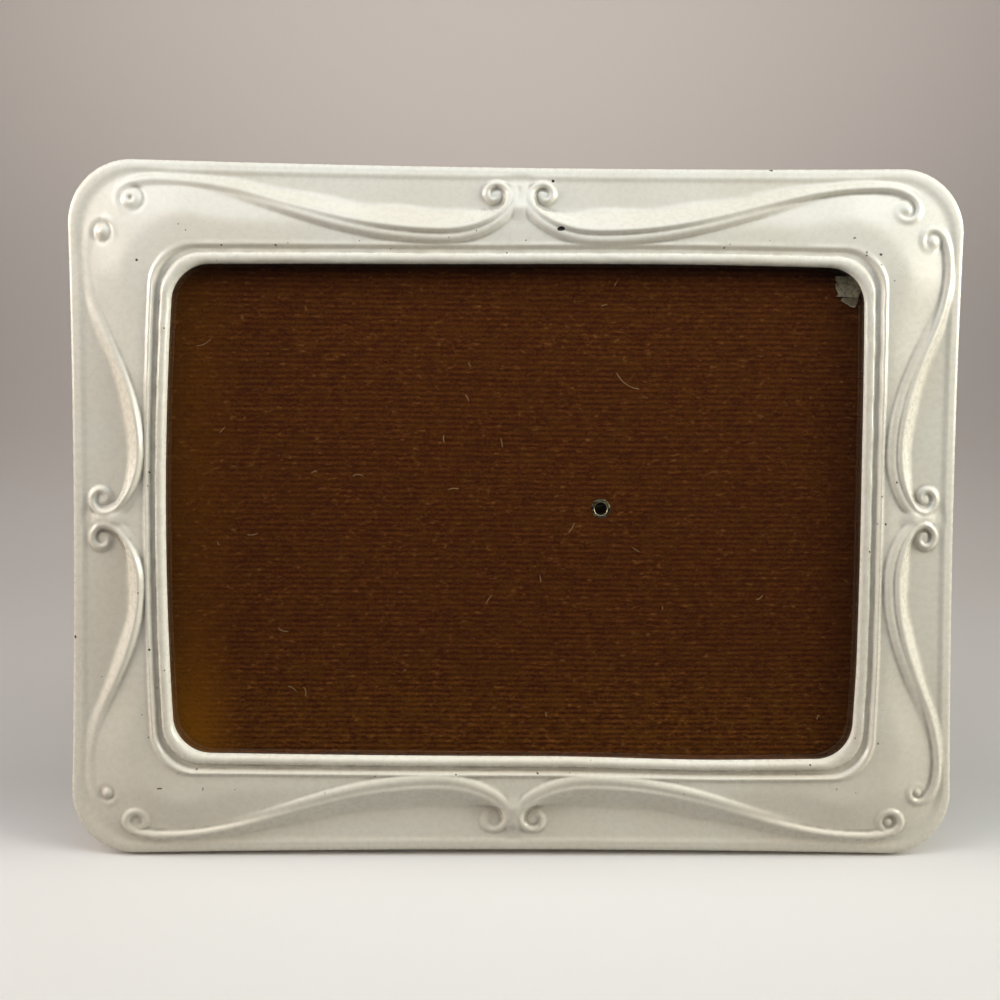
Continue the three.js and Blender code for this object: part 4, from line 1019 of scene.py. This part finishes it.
# Lights: name, place, target, size, watts, tint and spread in degrees
LIGHTS = (
    ("top_strip", (0, -0.055, 0.3), (0, 0, 0.1), (0.5, 0.1), 0.3, (0.8, 0.99, 1.18), 180),
    ("left_ceiling", (-0.36, -0.11, 0.4), (-0.08, 0, 0.1), (0.3, 0.26), 0.6, (1, 0.87, 0.75), 180),
    ("right_ceiling", (0.36, -0.11, 0.4), (0.08, 0, 0.1), (0.3, 0.26), 0.5, (1, 0.95, 0.82), 180),
    ("right_window", (0.64, -0.11, 0.32), (0, 0, 0.14), (0.36, 0.3), 1.05, (1, 1, 0.9), 90),
    ("left_window", (-0.66, -0.07, 0.34), (0, 0, 0.14), (0.36, 0.3), 0.8, (1, 0.95, 0.88), 90),
    ("right_front", (0.75, -0.4, 0.5), (0.1, 0, 0.16), (0.35, 0.35), 0.04, (1, 0.98, 0.92), 60),
    ("left_front", (-0.7, -0.35, 0.55), (-0.1, 0, 0.17), (0.3, 0.3), 0.08, (1, 0.93, 0.88), 60),
    ("backdrop_lamp", (0, 0.2, 0.8), (0, 0.65, 0.35), (1.0, 0.15), 2.7, (1, 0.98, 0.97), 120),
)


def area_light(name, place, target, size, watts, tint, spread):
    data = bpy.data.lights.new(name, "AREA")
    data.shape = "RECTANGLE"
    data.size, data.size_y = size
    data.energy = watts
    data.color = tint
    data.spread = math.radians(spread)
    lamp = new_object(name, data)
    lamp.location = place
    lamp.rotation_euler = (Vector(target) - Vector(place)).to_track_quat("-Z", "Y").to_euler()


# Camera: place and target in face millimetres, roll in degrees, and a lens as long as the sensor is wide
CAMERA_PLACE, CAMERA_TARGET, CAMERA_ROLL = (-8.66, 12.38, 251.73), (-4.14, 3.02, 0), 0.46
CAMERA_LENS, CAMERA_NEAR = 36, 0.01


def camera():
    data = bpy.data.cameras.new("camera")
    data.lens = data.sensor_width = CAMERA_LENS
    data.clip_start = CAMERA_NEAR
    eye = FACE_MM @ Vector(CAMERA_PLACE)
    back = (eye - FACE_MM @ Vector(CAMERA_TARGET)).normalized()
    right = UP.cross(back).normalized()
    turn = Matrix((right, back.cross(right), back)).transposed().to_4x4()
    viewer = new_object("camera", data)
    viewer.matrix_world = Matrix.Translation(eye) @ turn @ Matrix.Rotation(math.radians(CAMERA_ROLL), 4, "Z")
    bpy.context.scene.camera = viewer


# Room: faint light from all round, and the tint that the camera sees past the stage
ROOM_TINT, ROOM_LIGHT, ROOM_SEEN = (0.9, 0.93, 1, 1), 0.015, "C9C1BA"


def world():
    made = bpy.data.worlds.new("studio")
    made.use_nodes = True
    tree = made.node_tree
    room = tree.nodes["Background"]
    room.inputs["Color"].default_value = ROOM_TINT
    room.inputs["Strength"].default_value = ROOM_LIGHT
    seen = tree.nodes.new("ShaderNodeBackground")
    seen.inputs["Color"].default_value = colour(ROOM_SEEN)
    path = tree.nodes.new("ShaderNodeLightPath")
    mixed = tree.nodes.new("ShaderNodeMixShader")
    for k, output in enumerate((path.outputs["Is Camera Ray"], room.outputs[0], seen.outputs[0])):
        tree.links.new(output, mixed.inputs[k])
    tree.links.new(mixed.outputs[0], tree.nodes["World Output"].inputs["Surface"])
    bpy.context.scene.world = made


casting(ivory_paint())
facing_paper(brown_paper())
rivet(metal("dull_brass", "AC9C7E", "6C604C", 0.2))
scrap(torn_paper())
lint(plain_paper("lint_fibre", "B59A72", "8A7048", 0.5))
dress(["glass_pane"], pane())
dress(["backing_board"], plain_paper("board", "9A8B72", "7C6C54", 1.2))
dress(["rear_paper"], plain_paper("back_paper", "33271F", "231A14", 0.8), PAPER_EDGE)
dress(["strut_board"], plain_paper("strut_paper", "33271F", "231A14", 0.8), BOARD_EDGE)
dress(by_slot("plated"), metal("plated_brass", "BEB5A4", "8E8472", 0.34), METAL_EDGE)
dress(by_slot("steel"), metal("worn_steel", "AEACA6", "8A867E", 0.4), METAL_EDGE)

sweep(stage_finish())
for light in LIGHTS:
    area_light(*light)
world()
camera()
bpy.context.scene.view_settings.view_transform = "Standard"
